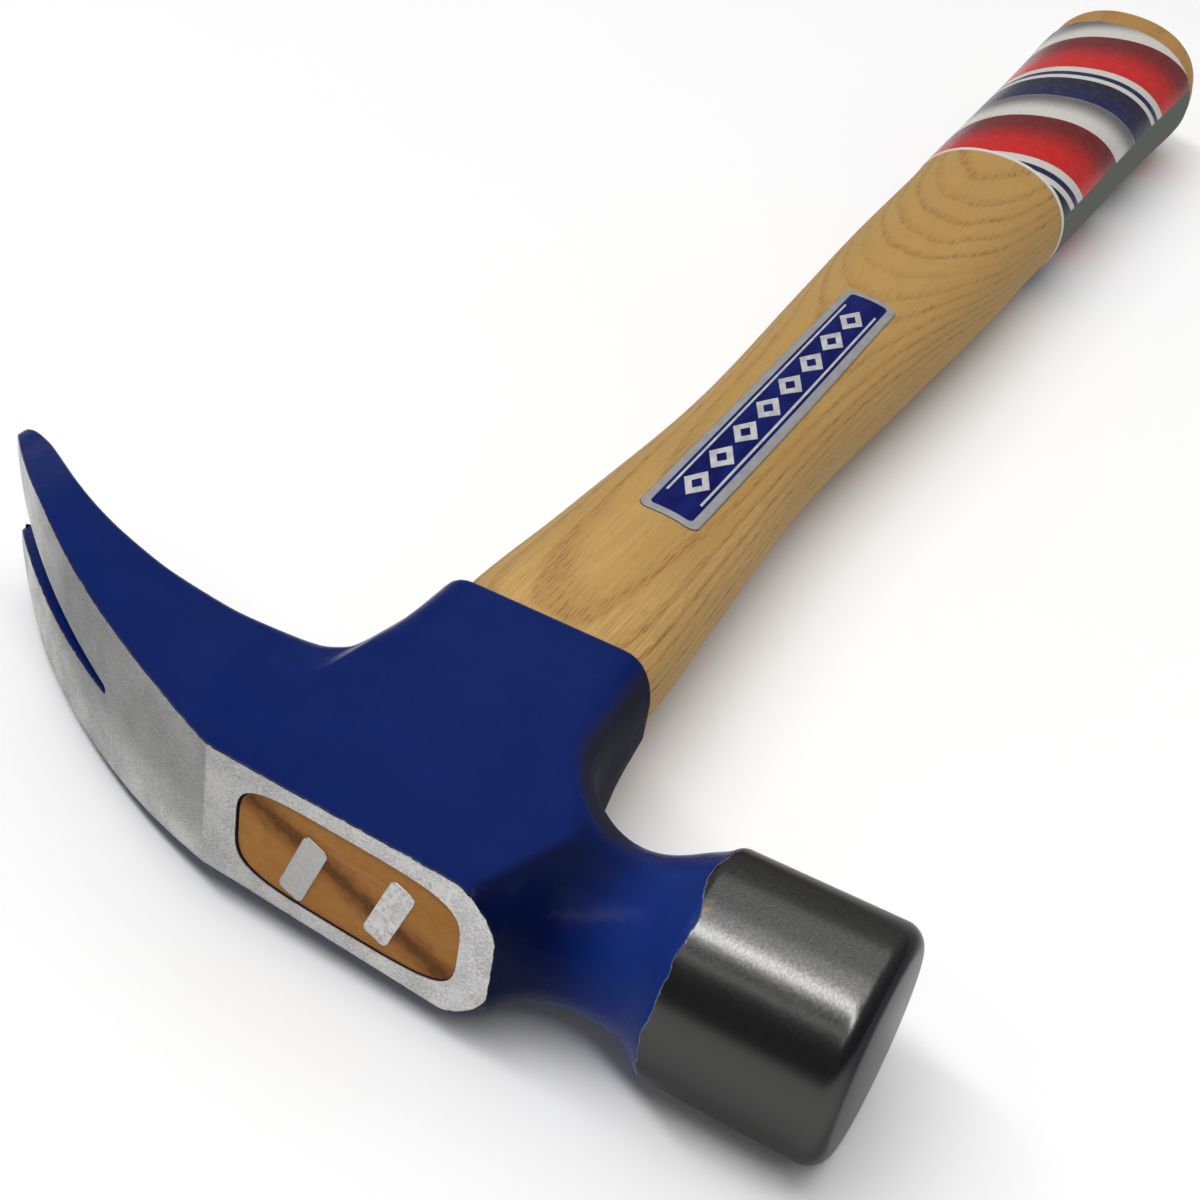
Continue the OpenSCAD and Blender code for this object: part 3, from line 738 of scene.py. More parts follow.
def steel_wedge_mesh(name, offset, shift, rough):
    """A tapered steel wedge with rounded corners, its struck end slightly uneven."""
    outline = wedge_outline()
    edge = STEEL_WEDGE_EDGE
    struck = (0.0, 0.35, 0.7, 0.9)
    rows = [(0.0, (outline * share) * (1 - edge / 3)) for share in struck]
    turns = np.radians([90, 60, 30, 0])
    levels = [(edge * (1 - math.sin(a)), edge * (1 - math.cos(a))) for a in turns]
    levels += [(depth, 0.0) for depth in (3.0, 8.0, 14.0, STEEL_WEDGE_DEPTH)]
    for depth, inset in levels:
        thin = between(1.0, STEEL_WEDGE_TAPER, max(depth - edge, 0) / STEEL_WEDGE_DEPTH)
        scale = np.array([1 - 2 * inset / STEEL_WEDGE_THICKNESS, 1 - 2 * inset / STEEL_WEDGE_WIDTH])
        rows.append((depth, outline * scale * np.array([thin, 1])))
    points = []
    cosine = math.cos(WEDGE_TURN)
    sine = math.sin(WEDGE_TURN)
    for level, (depth, ring) in enumerate(rows):
        for u, v in ring:
            # The struck face is dented and burred a little
            dent = 0.0
            if level < len(struck) and rough:
                dent = 0.09 * math.sin(2.3 * u + offset) * math.cos(1.1 * v + offset)
                dent += 0.05 * math.sin(5.1 * v + 3.7 * u)
            x = EYE_SHIFT + offset + u * cosine + v * sine
            z = shift - u * sine + v * cosine
            points.append((x, STEEL_RECESS + depth + abs(dent) - x * TOP_SLOPE, z))
    return mesh_from(name, points, grid_faces(0, len(rows), len(outline), True))


def wedge_space():
    """The wooden wedge's space: a welded copy of its CAD node, carried up past the cut end."""
    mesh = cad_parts["wood_wedge"].data.copy()
    tidy_mesh(mesh)
    for vertex in mesh.vertices:
        depth = vertex.co.y / MM - AXIS[1] + (vertex.co.x / MM - AXIS[0]) * TOP_SLOPE
        if depth < WOOD_RECESS + 0.05:
            vertex.co.y -= 2.0 * MM
    return mesh


# Node helpers
def feed(tree, socket, value):
    """Links a socket to another, or sets its value."""
    if isinstance(value, bpy.types.NodeSocket):
        tree.links.new(value, socket)
    else:
        socket.default_value = value


def add_node(tree, kind, inputs=None, **fields):
    """A node with its fields set and its inputs fed by name or number."""
    made = tree.nodes.new(kind)
    for field, value in fields.items():
        setattr(made, field, value)
    for key, value in (inputs or {}).items():
        feed(tree, made.inputs[key], value)
    return made


def calc(tree, operation, *values, clamp=False):
    """One step of arithmetic."""
    inputs = dict(enumerate(values))
    return add_node(tree, "ShaderNodeMath", inputs, operation=operation, use_clamp=clamp).outputs[0]


def times(tree, first, second):
    """Two numbers multiplied."""
    return calc(tree, "MULTIPLY", first, second)


def plus(tree, first, second):
    """Two numbers added."""
    return calc(tree, "ADD", first, second)


def minus(tree, first, second):
    """One number less another."""
    return calc(tree, "SUBTRACT", first, second)


def larger(tree, first, second):
    """The larger of two numbers."""
    return calc(tree, "MAXIMUM", first, second)


def apart(tree, value):
    """How far a number is from zero."""
    return calc(tree, "ABSOLUTE", value)


def ease(tree, value, low, high, start=0.0, end=1.0):
    """A smooth step from start to end as a value goes from low to high."""
    inputs = {"Value": value, "From Min": low, "From Max": high, "To Min": start, "To Max": end}
    made = add_node(tree, "ShaderNodeMapRange", inputs, interpolation_type="SMOOTHSTEP")
    return made.outputs["Result"]


def solid(tone):
    """A colour as a socket takes it, or the socket that gives one."""
    return tone if isinstance(tone, bpy.types.NodeSocket) else (*tone, 1.0)


def darker(rgb, share):
    """A colour dimmed to a share of its strength."""
    return tuple(share * c for c in rgb)


def blend(tree, factor, low, high):
    """One colour mixed into another."""
    inputs = {0: factor, 6: solid(low), 7: solid(high)}
    return add_node(tree, "ShaderNodeMix", inputs, data_type="RGBA").outputs[2]


def blend_value(tree, factor, low, high):
    """One number mixed into another."""
    return add_node(tree, "ShaderNodeMix", {0: factor, 2: low, 3: high}).outputs[0]


def scaled(tree, vector, factors):
    """A vector stretched along each axis."""
    inputs = {0: vector, 1: factors}
    return add_node(tree, "ShaderNodeVectorMath", inputs, operation="MULTIPLY").outputs[0]


def noise(tree, vector, scale, detail=2.0, rough=0.5):
    """Cloudy noise from 0 to 1."""
    inputs = {"Vector": vector, "Scale": scale, "Detail": detail, "Roughness": rough}
    return add_node(tree, "ShaderNodeTexNoise", inputs).outputs["Fac"]


def streaks(tree, vector, factors, detail=2.0, rough=0.5):
    """Noise of one cycle a millimetre, stretched along each axis."""
    return noise(tree, scaled(tree, vector, factors), 1.0, detail, rough)


def swing(tree, value, size):
    """Noise about zero, of that size."""
    return times(tree, minus(tree, value, 0.5), size)


def head_space(tree):
    """Object coordinates turned into millimetres of the head's frame."""
    source = add_node(tree, "ShaderNodeTexCoord").outputs["Object"]
    inputs = {"Vector": source, "Location": tuple(-AXIS), "Scale": (1 / MM,) * 3}
    return add_node(tree, "ShaderNodeMapping", inputs).outputs[0]


def parts_of(tree, vector):
    """The three parts of a vector."""
    return tuple(add_node(tree, "ShaderNodeSeparateXYZ", {0: vector}).outputs)


def stored(tree, name):
    """A number stored on the mesh's points."""
    return add_node(tree, "ShaderNodeAttribute", attribute_name=name).outputs["Fac"]


def raised(tree, height, distance, strength=1.0, under=None):
    """A bump from a height, on top of another where one is given."""
    inputs = {"Height": height, "Distance": distance, "Strength": strength}
    if under is not None:
        inputs["Normal"] = under
    return add_node(tree, "ShaderNodeBump", inputs).outputs[0]


def new_material(name):
    """A material with a bare shader, and that shader."""
    material = bpy.data.materials.new(name)
    material.use_nodes = True
    return material, material.node_tree, material.node_tree.nodes["Principled BSDF"]


# The head's finishes
EDGE_STAIN = (0.045, 0.04, 0.03)
GRIT = (0.1, 0.1, 0.1)
SPOT = (0.1, 0.095, 0.09)


def enamel_tone(tree, look, place, ragged, wall):
    """Deep blue, faintly clouded and stained beside bare steel, with painted shade at the neck's root,
    a painted sheen beside the barrel and dark scale with painted shade on the wall under the neck.
    """
    x, y = parts_of(tree, place)[:2]
    cloud = noise(tree, place, 0.11, 3.0)
    tone = blend(tree, ease(tree, cloud, 0.3, 0.7), look.enamel_deep, look.enamel)
    stain = times(tree, ease(tree, ragged, -0.35, -0.08), 0.55)
    tone = blend(tree, stain, tone, EDGE_STAIN)
    # Painted shade at the neck's root, behind a slanting edge
    slant = times(tree, calc(tree, "MINIMUM", larger(tree, y, 0.0), 12.5), 0.4)
    root_shade = ease(tree, minus(tree, x, slant), 16.8, 18.8)
    root_shade = times(tree, root_shade, ease(tree, x, 33.0, 25.0))
    root_shade = times(tree, root_shade, ease(tree, y, 21.0, 11.0, 0.0, 0.85))
    tone = blend(tree, root_shade, tone, look.enamel_root_shade)
    # Painted sheen on the neck's flare beside the barrel
    pale = times(tree, ease(tree, x, 29.0, 36.0), ease(tree, y, 22.0, 14.0, 0.0, 0.8))
    tone = blend(tree, pale, tone, look.enamel_sheen)
    # The wall under the neck and the eye's walls: dark bare scale with painted shade
    return blend(tree, wall, tone, blend(tree, cloud, look.deep_scale_and_shade, look.scale))


def ground_tone(tree, look, place, lines, blotch):
    """Pale steel with a fine grain, with painted shade on the claw and toward the crease and a painted
    highlight at the claw's tips and toward its far side.
    """
    x, _, z = parts_of(tree, place)
    # Painted shade on the claw's middle; painted highlight at its tips and toward its far side
    claw = blend(tree, ease(tree, x, -72.0, -50.0), look.ground_painted_highlight, look.ground_painted_shade)
    claw = blend(tree, ease(tree, z, 0.0, -9.0, 0.0, 0.5), claw, look.ground_painted_highlight)
    # Painted shade on the flat top toward the crease
    flat_top = blend(tree, ease(tree, x, 16.0, CREASE, 0.0, 0.45), look.ground, look.ground_painted_shade)
    tone = blend(tree, ease(tree, x, CREASE - 0.4, CREASE + 0.2), claw, flat_top)
    grit = plus(tree, lines, swing(tree, blotch, 0.4))
    tone = blend(tree, ease(tree, grit, 0.64, 0.32, 0.0, 0.52), tone, GRIT)
    spots = times(tree, ease(tree, noise(tree, place, 0.45, 4.0), 0.7, 0.78), 0.6)
    return blend(tree, spots, tone, SPOT)


def barrel_tone(tree, look, place, rings):
    """Darker steel with a fine grain and a few yellow stains, with painted shade on the struck face's
    edge and on the side away from the handle.
    """
    x, y, z = parts_of(tree, place)
    tone = blend(tree, ease(tree, rings, 0.34, 0.66), darker(look.barrel, 0.7), look.barrel)
    rust = ease(tree, noise(tree, place, 0.16, 3.0), 0.68, 0.74, 0.0, 0.5)
    tone = blend(tree, rust, tone, look.stain)
    # Painted shade on the struck face's edge, stronger toward its rim
    struck = ease(tree, x, FACE_REACH - 2.4, FACE_REACH - 0.6, 0.0, 0.85)
    below_axis = minus(tree, y, POLL_AXIS_DEPTH)
    squares = calc(tree, "MULTIPLY_ADD", below_axis, below_axis, times(tree, z, z))
    rim = ease(tree, calc(tree, "SQRT", squares), 6.0, 10.0, 0.5, 1.0)
    tone = blend(tree, times(tree, struck, rim), tone, look.scale)
    # Painted shade on the barrel's side away from the handle
    return blend(tree, ease(tree, y, 4.0, 0.0), tone, darker(look.barrel, 0.6))


def head_material(look):
    """Blue enamel with a ground top and a ground barrel, worn along the edges."""
    material, tree, shader = new_material("enamelled_head_steel")
    place = head_space(tree)
    x = parts_of(tree, place)[0]
    ragged = plus(tree, stored(tree, "ground_edge"), swing(tree, noise(tree, place, 0.9, 3.0), 0.5))
    ground = ease(tree, ragged, -0.06, 0.06)
    wave = swing(tree, noise(tree, scaled(tree, place, (0.2, 1, 1)), 0.09, 1.0), 5.5)
    fine = swing(tree, noise(tree, place, 0.7, 2.0), 0.8)
    paint_end = plus(tree, plus(tree, x, wave), fine)
    barrel = ease(tree, paint_end, look.paint_end / MM - 0.12, look.paint_end / MM + 0.12)
    bare = larger(tree, ground, barrel)
    # Mask of the wall and the eye's walls that take bare scale with painted shade
    wall = times(tree, stored(tree, "front_wall"), 0.85)
    lines = noise(tree, scaled(tree, place, (0.9, 1, 2.0)), 3.2, 3.0, 0.7)
    blotch = noise(tree, place, 0.22, 3.0)
    rings = noise(tree, scaled(tree, place, (2.4, 1.5, 1.5)), 1.7, 3.0, 0.65)
    enamel = enamel_tone(tree, look, place, ragged, wall)
    top = ground_tone(tree, look, place, lines, blotch)
    steel = blend(tree, barrel, top, barrel_tone(tree, look, place, rings))
    feed(tree, shader.inputs["Base Color"], blend(tree, bare, enamel, steel))
    feed(tree, shader.inputs["Metallic"], bare)

    enamel_rough = blend_value(tree, noise(tree, place, 0.3, 2.0), 0.2, 0.32)
    enamel_rough = blend_value(tree, wall, enamel_rough, 0.8)
    ground_rough = blend_value(tree, blotch, 0.38, 0.55)
    barrel_rough = blend_value(tree, rings, 0.2, 0.28)
    steel_rough = blend_value(tree, barrel, ground_rough, barrel_rough)
    feed(tree, shader.inputs["Roughness"], blend_value(tree, bare, enamel_rough, steel_rough))

    # Relief: paint stands over bare steel, orange peel in the paint, grinding lines in the steel
    painted = minus(tree, 1.0, bare)
    step = raised(tree, painted, 0.00006)
    step = raised(tree, times(tree, noise(tree, place, 0.55, 2.0), painted), 0.00016, 0.5, step)
    scratch = blend_value(tree, barrel, lines, times(tree, rings, 0.7))
    step = raised(tree, times(tree, scratch, bare), 0.00002, 0.4, step)
    feed(tree, shader.inputs["Normal"], step)
    shader.inputs["Specular IOR Level"].default_value = 0.06
    shader.inputs["Specular Tint"].default_value = (0.5, 0.5, 0.5, 1)
    return material


# Wood and wedge finishes
def wedge_side(tree, x, z):
    """Distance from the middle of the wooden wedge, in millimetres."""
    lean = times(tree, minus(tree, x, EYE_SHIFT), math.sin(WEDGE_TURN))
    return apart(tree, plus(tree, lean, times(tree, z, math.cos(WEDGE_TURN))))


def ring_band(tree, look, place):
    """How strongly a growth ring shows: rings that bow, climb, arch and sway along the handle."""
    x, y, z = parts_of(tree, place)
    sway = swing(tree, streaks(tree, place, (0.045, 0.008, 0.045)), 2.6)
    ripple = swing(tree, streaks(tree, place, (0.22, 0.03, 0.22)), 0.5)
    bow = times(tree, times(tree, x, x), 1 / 180)
    climb = times(tree, y, look.grain_slope)
    arch = ease(tree, y, 142.0, 232.0, 0.0, look.arch_rise / MM)
    ring = plus(tree, plus(tree, z, bow), plus(tree, climb, arch))
    ring = plus(tree, ring, plus(tree, sway, ripple))
    count = calc(tree, "DIVIDE", ring, look.ring_spacing / MM)
    turn = calc(tree, "FRACT", count)
    inputs = {"W": calc(tree, "FLOOR", count)}
    year = add_node(tree, "ShaderNodeTexWhiteNoise", inputs, noise_dimensions="1D")
    strength = ease(tree, year.outputs["Value"], 0.0, 1.0, 0.25, 1.0)
    early = minus(tree, 1.0, ease(tree, turn, 0.02, 0.42))
    late = ease(tree, turn, 0.86, 1.0)
    return times(tree, larger(tree, early, late), strength)


def wood_material(look, name, end_grain):
    """Hickory with growth rings, open pores and fine fibre, or its cut end."""
    material, tree, shader = new_material(name)
    place = head_space(tree)
    x, y, z = parts_of(tree, place)
    band = ring_band(tree, look, place)
    open_pore = ease(tree, streaks(tree, place, (5.0, 0.26, 5.0), 1.0, 0.4), 0.54, 0.64)
    scatter = noise(tree, scaled(tree, place, (4.6, 0.24, 4.6)), 1.1, 1.0)
    scatter = times(tree, ease(tree, scatter, 0.62, 0.72), 0.42)
    pore = times(tree, open_pore, plus(tree, band, 0.06))
    pore = calc(tree, "MAXIMUM", pore, scatter, clamp=True)
    fibre = streaks(tree, place, (5.0, 0.05, 5.0), 3.0, 0.6)
    patch = streaks(tree, place, (0.12, 0.015, 0.12))

    tone = blend(tree, ease(tree, patch, 0.3, 0.7), look.wood, look.wood_warm)
    tone = blend(tree, ease(tree, y, 60.0, 220.0, 0.0, 0.85), tone, look.wood_warm)
    tone = blend(tree, times(tree, band, 0.72), tone, look.ring)
    tone = blend(tree, ease(tree, fibre, 0.6, 0.36, 0.0, 0.85), tone, darker(look.wood, 0.72))
    tone = blend(tree, times(tree, pore, 0.7), tone, look.pore)
    tone = blend(tree, ease(tree, y, 295.0, 326.0, 0.0, 0.55), tone, look.ring)
    if end_grain:
        soak = streaks(tree, place, (0.6, 0.6, 0.6), 3.0)
        tone = blend(tree, ease(tree, soak, 0.25, 0.75, 0.65, 0.9), tone, look.end_wood)
        beside = plus(tree, wedge_side(tree, x, z), swing(tree, soak, 3.6))
        tone = blend(tree, ease(tree, beside, 3.4, 0.8, 0.0, 0.8), tone, look.end_dark)
    feed(tree, shader.inputs["Base Color"], tone)
    rough = blend_value(tree, pore, 0.55, 0.7)
    feed(tree, shader.inputs["Roughness"], plus(tree, rough, swing(tree, fibre, 0.12)))
    relief = minus(tree, times(tree, fibre, 0.25), pore)
    feed(tree, shader.inputs["Normal"], raised(tree, relief, 0.00006, 0.7))
    shader.inputs["Specular IOR Level"].default_value = 0.12 if end_grain else 0.1
    return material


def wedge_wood_material(look):
    """Dark wood of the eye's wedge, seen on its cut end."""
    material, tree, shader = new_material("dark_wedge_wood")
    place = head_space(tree)
    x, _, z = parts_of(tree, place)
    dots = streaks(tree, place, (2.4, 0.2, 2.4), 3.0, 0.6)
    cloud = noise(tree, place, 0.5, 2.0)
    tone = blend(tree, ease(tree, dots, 0.35, 0.65), look.wedge_dark, look.wedge)
    tone = blend(tree, ease(tree, cloud, 0.35, 0.7, 0.0, 0.5), tone, look.wedge_dark)
    beside = plus(tree, wedge_side(tree, x, z), swing(tree, cloud, 3.4))
    tone = blend(tree, ease(tree, beside, 0.3, 1.7, 0.0, 0.9), tone, look.wedge_edge)
    feed(tree, shader.inputs["Base Color"], tone)
    feed(tree, shader.inputs["Roughness"], blend_value(tree, dots, 0.5, 0.75))
    feed(tree, shader.inputs["Normal"], raised(tree, dots, 0.0001, 0.7))
    shader.inputs["Specular IOR Level"].default_value = 0.12
    return material


def wedge_steel_material(look):
    """Pale rough steel of the eye's wedges, duller on the rear one."""
    material, tree, shader = new_material("rough_wedge_steel")
    place = head_space(tree)
    x = parts_of(tree, place)[0]
    pits = noise(tree, place, 1.7, 4.0, 0.65)
    cloud = noise(tree, place, 0.35, 2.0)
    tone = blend(tree, ease(tree, pits, 0.3, 0.6), look.steel_dark, look.steel)
    tone = blend(tree, ease(tree, cloud, 0.4, 0.75, 0.0, 0.4), tone, look.steel_dark)
    tone = blend(tree, ease(tree, x, 4.0, -2.0, 0.0, 0.75), tone, look.steel_dark)
    feed(tree, shader.inputs["Base Color"], tone)
    shader.inputs["Metallic"].default_value = 0.9
    feed(tree, shader.inputs["Roughness"], blend_value(tree, pits, 0.5, 0.34))
    feed(tree, shader.inputs["Normal"], raised(tree, pits, 0.00006, 0.6))
    return material


# The films' finishes
FOIL_RIM = (0.08, 0.06, 0.04)
PANEL_CORNER = 0.8
LOZENGE_LEAN = 0.56
LOZENGE_HALF = 2.05
LOZENGE_HOLLOW = 0.85
LOZENGE_REACH = 4
RULE_PLACE = 2.75
STRIP_HALF = 4.5
BORDER_LINE = 0.8


def film_space(tree, width, length):
    """A film's own flat coordinates in millimetres about its middle, and their two parts."""
    source = add_node(tree, "ShaderNodeUVMap", uv_map="UVMap").outputs[0]
    inputs = {"Vector": source, "Location": (-width / 2, -length / 2, 0), "Scale": (width, length, 1)}
    flat = add_node(tree, "ShaderNodeMapping", inputs).outputs[0]
    return flat, *parts_of(tree, flat)[:2]


def box_distance(tree, across, along, half_width, half_length, corner):
    """Distance outside a rounded panel, below zero inside it."""
    over_x = minus(tree, apart(tree, across), half_width - corner)
    over_y = minus(tree, apart(tree, along), half_length - corner)
    out_x = larger(tree, over_x, 0.0)
    out_y = larger(tree, over_y, 0.0)
    squares = plus(tree, times(tree, out_x, out_x), times(tree, out_y, out_y))
    inside = calc(tree, "MINIMUM", larger(tree, over_x, over_y), 0.0)
    return minus(tree, plus(tree, calc(tree, "SQRT", squares), inside), corner)


def label_motif(tree, across, along, step):
    """A row of hollow lozenges between two lines: 1 on them and 0 beside them."""
    turn = minus(tree, calc(tree, "FRACT", calc(tree, "DIVIDE", along, step)), 0.5)
    lean = times(tree, apart(tree, turn), step)
    lozenge = plus(tree, apart(tree, across), times(tree, lean, LOZENGE_LEAN))
    full = minus(tree, 1.0, ease(tree, lozenge, LOZENGE_HALF, LOZENGE_HALF + 0.1))
    hollow = minus(tree, 1.0, ease(tree, lozenge, LOZENGE_HOLLOW, LOZENGE_HOLLOW + 0.1))
    outline = calc(tree, "SUBTRACT", full, hollow, clamp=True)
    rule = apart(tree, minus(tree, apart(tree, across), RULE_PLACE))
    rule = minus(tree, 1.0, ease(tree, rule, 0.14, 0.22))
    held = ease(tree, apart(tree, along), LOZENGE_REACH * step + 0.1, LOZENGE_REACH * step)
    return times(tree, larger(tree, outline, rule), held)


def label_material(look):
    """Silver foil with a blue panel, and a plain row of lozenges between two lines."""
    material, tree, shader = new_material("printed_foil")
    flat, across, along = film_space(tree, LABEL_WIDTH, LABEL_LENGTH)
    border = look.label_border / MM
    half_width = LABEL_WIDTH / 2
    half_length = LABEL_LENGTH / 2
    sides = (half_width - border, half_length - border, PANEL_CORNER)
    foil_edge = ease(tree, box_distance(tree, across, along, *sides), -0.05, 0.05)
    foil = larger(tree, foil_edge, label_motif(tree, across, along, look.label_motif / MM))

    cloud = noise(tree, scaled(tree, flat, (1, 0.3, 1)), 0.35, 2.0)
    panel = blend(tree, ease(tree, cloud, 0.3, 0.7), look.panel, look.panel_light)
    crinkle = noise(tree, scaled(tree, flat, (1, 0.5, 1)), 0.7, 3.0)
    silver = blend(tree, ease(tree, crinkle, 0.3, 0.7), darker(look.foil, 0.7), look.foil)
    silver = blend(tree, times(tree, foil_edge, 0.7), silver, darker(look.foil, 0.42))
    rim = box_distance(tree, across, along, half_width, half_length, LABEL_CORNER)
    silver = blend(tree, ease(tree, rim, -0.22, -0.05, 0.0, 0.7), silver, FOIL_RIM)
    feed(tree, shader.inputs["Base Color"], blend(tree, foil, panel, silver))
    feed(tree, shader.inputs["Metallic"], times(tree, foil, 0.45))
    feed(tree, shader.inputs["Roughness"], blend_value(tree, foil, 0.28, 0.36))
    feed(tree, shader.inputs["Normal"], raised(tree, crinkle, 0.00006, 0.5))
    shader.inputs["Specular IOR Level"].default_value = 0.04
    return material


def sleeve_bands(tree, look, turn):
    """Slanted bands of colour, each broad one darkening softly toward its far edge."""
    bands = [(0.4, look.print_white), (0.64, look.print_navy), (0.86, look.print_white)]
    bands += [(0.9, look.print_navy), (0.94, look.print_white)]
    tone = look.print_red
    for start, shade_of in bands:
        tone = blend(tree, ease(tree, turn, start, start + 0.004), tone, shade_of)
    # Where each fade starts and is full, its strength, and where its band ends
    shadows = [(0.08, 0.34, 0.75, 0.4), (0.46, 0.62, 0.8, 0.64), (0.68, 0.84, 0.6, 0.86)]
    fades = []
    for start, full, strength, end in shadows:
        fade = ease(tree, turn, start, full, 0.0, strength)
        fades.append(times(tree, fade, ease(tree, turn, end + 0.001, end)))
    gloom = larger(tree, larger(tree, fades[0], fades[1]), fades[2])
    return blend(tree, gloom, tone, look.print_shadow)


def sleeve_material(look):
    """Glossy printed film: slanted red, white and navy bands, a plain strip and a pale border."""
    material, tree, shader = new_material("printed_sleeve")
    girth = sleeve_girth()
    length = SLEEVE_END - SLEEVE_START
    flat, around, along = film_space(tree, girth, length)
    lean = plus(tree, along, times(tree, around, look.band_slant))
    turn = calc(tree, "FRACT", calc(tree, "DIVIDE", lean, look.band_pitch / MM))
    tone = sleeve_bands(tree, look, turn)
    seam = girth / 2 - STRIP_HALF
    plain = ease(tree, apart(tree, around), seam - 0.1, seam + 0.1)
    tone = blend(tree, plain, tone, look.print_grey)
    border = BORDER_LINE - length / 2
    tone = blend(tree, ease(tree, along, border + 0.1, border), tone, look.print_line)
    tired = darker(look.print_white, 0.75)
    ink = noise(tree, flat, 0.5, 4.0, 0.6)
    tone = blend(tree, ease(tree, ink, 0.4, 0.8, 0.0, 0.05), tone, tired)
    scuff = noise(tree, scaled(tree, flat, (1.4, 0.12, 1)), 1.3, 3.0, 0.6)
    tone = blend(tree, ease(tree, scuff, 0.7, 0.82, 0.0, 0.08), tone, tired)
    feed(tree, shader.inputs["Base Color"], tone)
    rough = blend_value(tree, ease(tree, scuff, 0.5, 0.8), 0.22, 0.42)
    feed(tree, shader.inputs["Roughness"], blend_value(tree, plain, rough, 0.8))
    wrinkle = noise(tree, scaled(tree, flat, (0.5, 0.16, 1)), 0.6, 2.0)
    feed(tree, shader.inputs["Normal"], raised(tree, wrinkle, 0.00025, 0.35))
    shader.inputs["Specular IOR Level"].default_value = 0.06
    return material


# Films that follow the wood: their meshes' counts, and how far off the wood they start
LABEL_COLUMNS = 22
LABEL_ROWS = 110
LABEL_HEIGHT = 40.0
SLEEVE_SIDES = 144
SLEEVE_ROWS = 76
SLEEVE_OFFSET = 15.0
RING_SAMPLES = 1440
FILM_EDGE = 0.15
RAY_LENGTH = 0.1
WELD_GAP = 1e-6


def film_tree():
    """Geometry nodes that lay a flat film on the wood along each point's aim."""
    tree = bpy.data.node_groups.new("film_on_wood", "GeometryNodeTree")
    kinds = {"Film": "Geometry", "Wood": "Object", "Thickness": "Float", "Finish": "Material"}
    for name, kind in kinds.items():
        tree.interface.new_socket(name, in_out="INPUT", socket_type="NodeSocket" + kind)
    tree.interface.new_socket("Film", in_out="OUTPUT", socket_type="NodeSocketGeometry")
    given = tree.nodes.new("NodeGroupInput").outputs
    wood = add_node(tree, "GeometryNodeObjectInfo", {"Object": given["Wood"]}).outputs["Geometry"]
    aim = add_node(tree, "GeometryNodeInputNamedAttribute", {"Name": "aim"}, data_type="FLOAT_VECTOR")
    lift = add_node(tree, "GeometryNodeInputNamedAttribute", {"Name": "lift"}, data_type="FLOAT")
    inputs = {"Target Geometry": wood, "Ray Direction": aim.outputs[0], "Ray Length": RAY_LENGTH}
    ray = add_node(tree, "GeometryNodeRaycast", inputs)
    hit = ray.outputs["Hit Position"]
    height = times(tree, given["Thickness"], lift.outputs[0])
    inputs = {0: ray.outputs["Hit Normal"], "Scale": height}
    rise = add_node(tree, "ShaderNodeVectorMath", inputs, operation="SCALE").outputs[0]
    above = add_node(tree, "ShaderNodeVectorMath", {0: hit, 1: rise}, operation="ADD").outputs[0]
    top = add_node(tree, "GeometryNodeSetPosition", {"Geometry": given["Film"], "Position": above})
    under = add_node(tree, "GeometryNodeSetPosition", {"Geometry": given["Film"], "Position": hit})
    turned = add_node(tree, "GeometryNodeFlipFaces", {"Mesh": under.outputs[0]})
    both = tree.nodes.new("GeometryNodeJoinGeometry")
    tree.links.new(turned.outputs[0], both.inputs[0])
    tree.links.new(top.outputs[0], both.inputs[0])
    inputs = {"Geometry": both.outputs[0], "Distance": WELD_GAP}
    closed = add_node(tree, "GeometryNodeMergeByDistance", inputs)
    real = add_node(tree, "GeometryNodeRealizeInstances", {"Geometry": closed.outputs[0]})
    inputs = {"Geometry": real.outputs[0], "Material": given["Finish"]}
    done = add_node(tree, "GeometryNodeSetMaterial", inputs)
    tree.links.new(done.outputs[0], tree.nodes.new("NodeGroupOutput").inputs[0])
    return tree


def lay_film(name, film, wood, tree, thickness, material):
    """A film piece laid on the wood, from points off its surface that each aim at it."""
    points, aims, lifts, faces, flat = film
    mesh = mesh_from(name, points, faces, weld=False)
    store = mesh.attributes.new("aim", "FLOAT_VECTOR", "POINT")
    store.data.foreach_set("vector", np.asarray(aims, np.float32).ravel())
    store_points(mesh, "lift", lifts)
    layer = mesh.uv_layers.new(name="UVMap")
    layer.data.foreach_set("uv", np.asarray(flat, np.float32).ravel())
    piece = new_object(name, mesh)
    step = piece.modifiers.new("film", "NODES")
    step.node_group = tree
    values = {"Wood": wood, "Thickness": thickness, "Finish": material}
    for item in tree.interface.items_tree:
        if item.in_out == "INPUT" and item.name in values:
            step[item.identifier] = values[item.name]
    settled(piece)
    piece.data.name = name
    for spare in ("aim", "lift"):
        piece.data.attributes.remove(piece.data.attributes[spare])
    shade(piece.data, FILM_CRISP)
    return piece


def edge_steps(half, count):
    """Places from minus half to half with extra ones beside both edges."""
    ends = np.array([0.0, 0.4, 1.0]) * FILM_EDGE
    inner = np.linspace(-half + FILM_EDGE * 3, half - FILM_EDGE * 3, count)
    return np.concatenate([ends - half, inner, half - ends[::-1]])


def edge_lift(count):
    """Film heights across one of those rows of places: none at the edges, full inside."""
    lift = np.ones(count)
    lift[[0, -1]] = 0.0
    lift[[1, -2]] = 0.8
    return lift


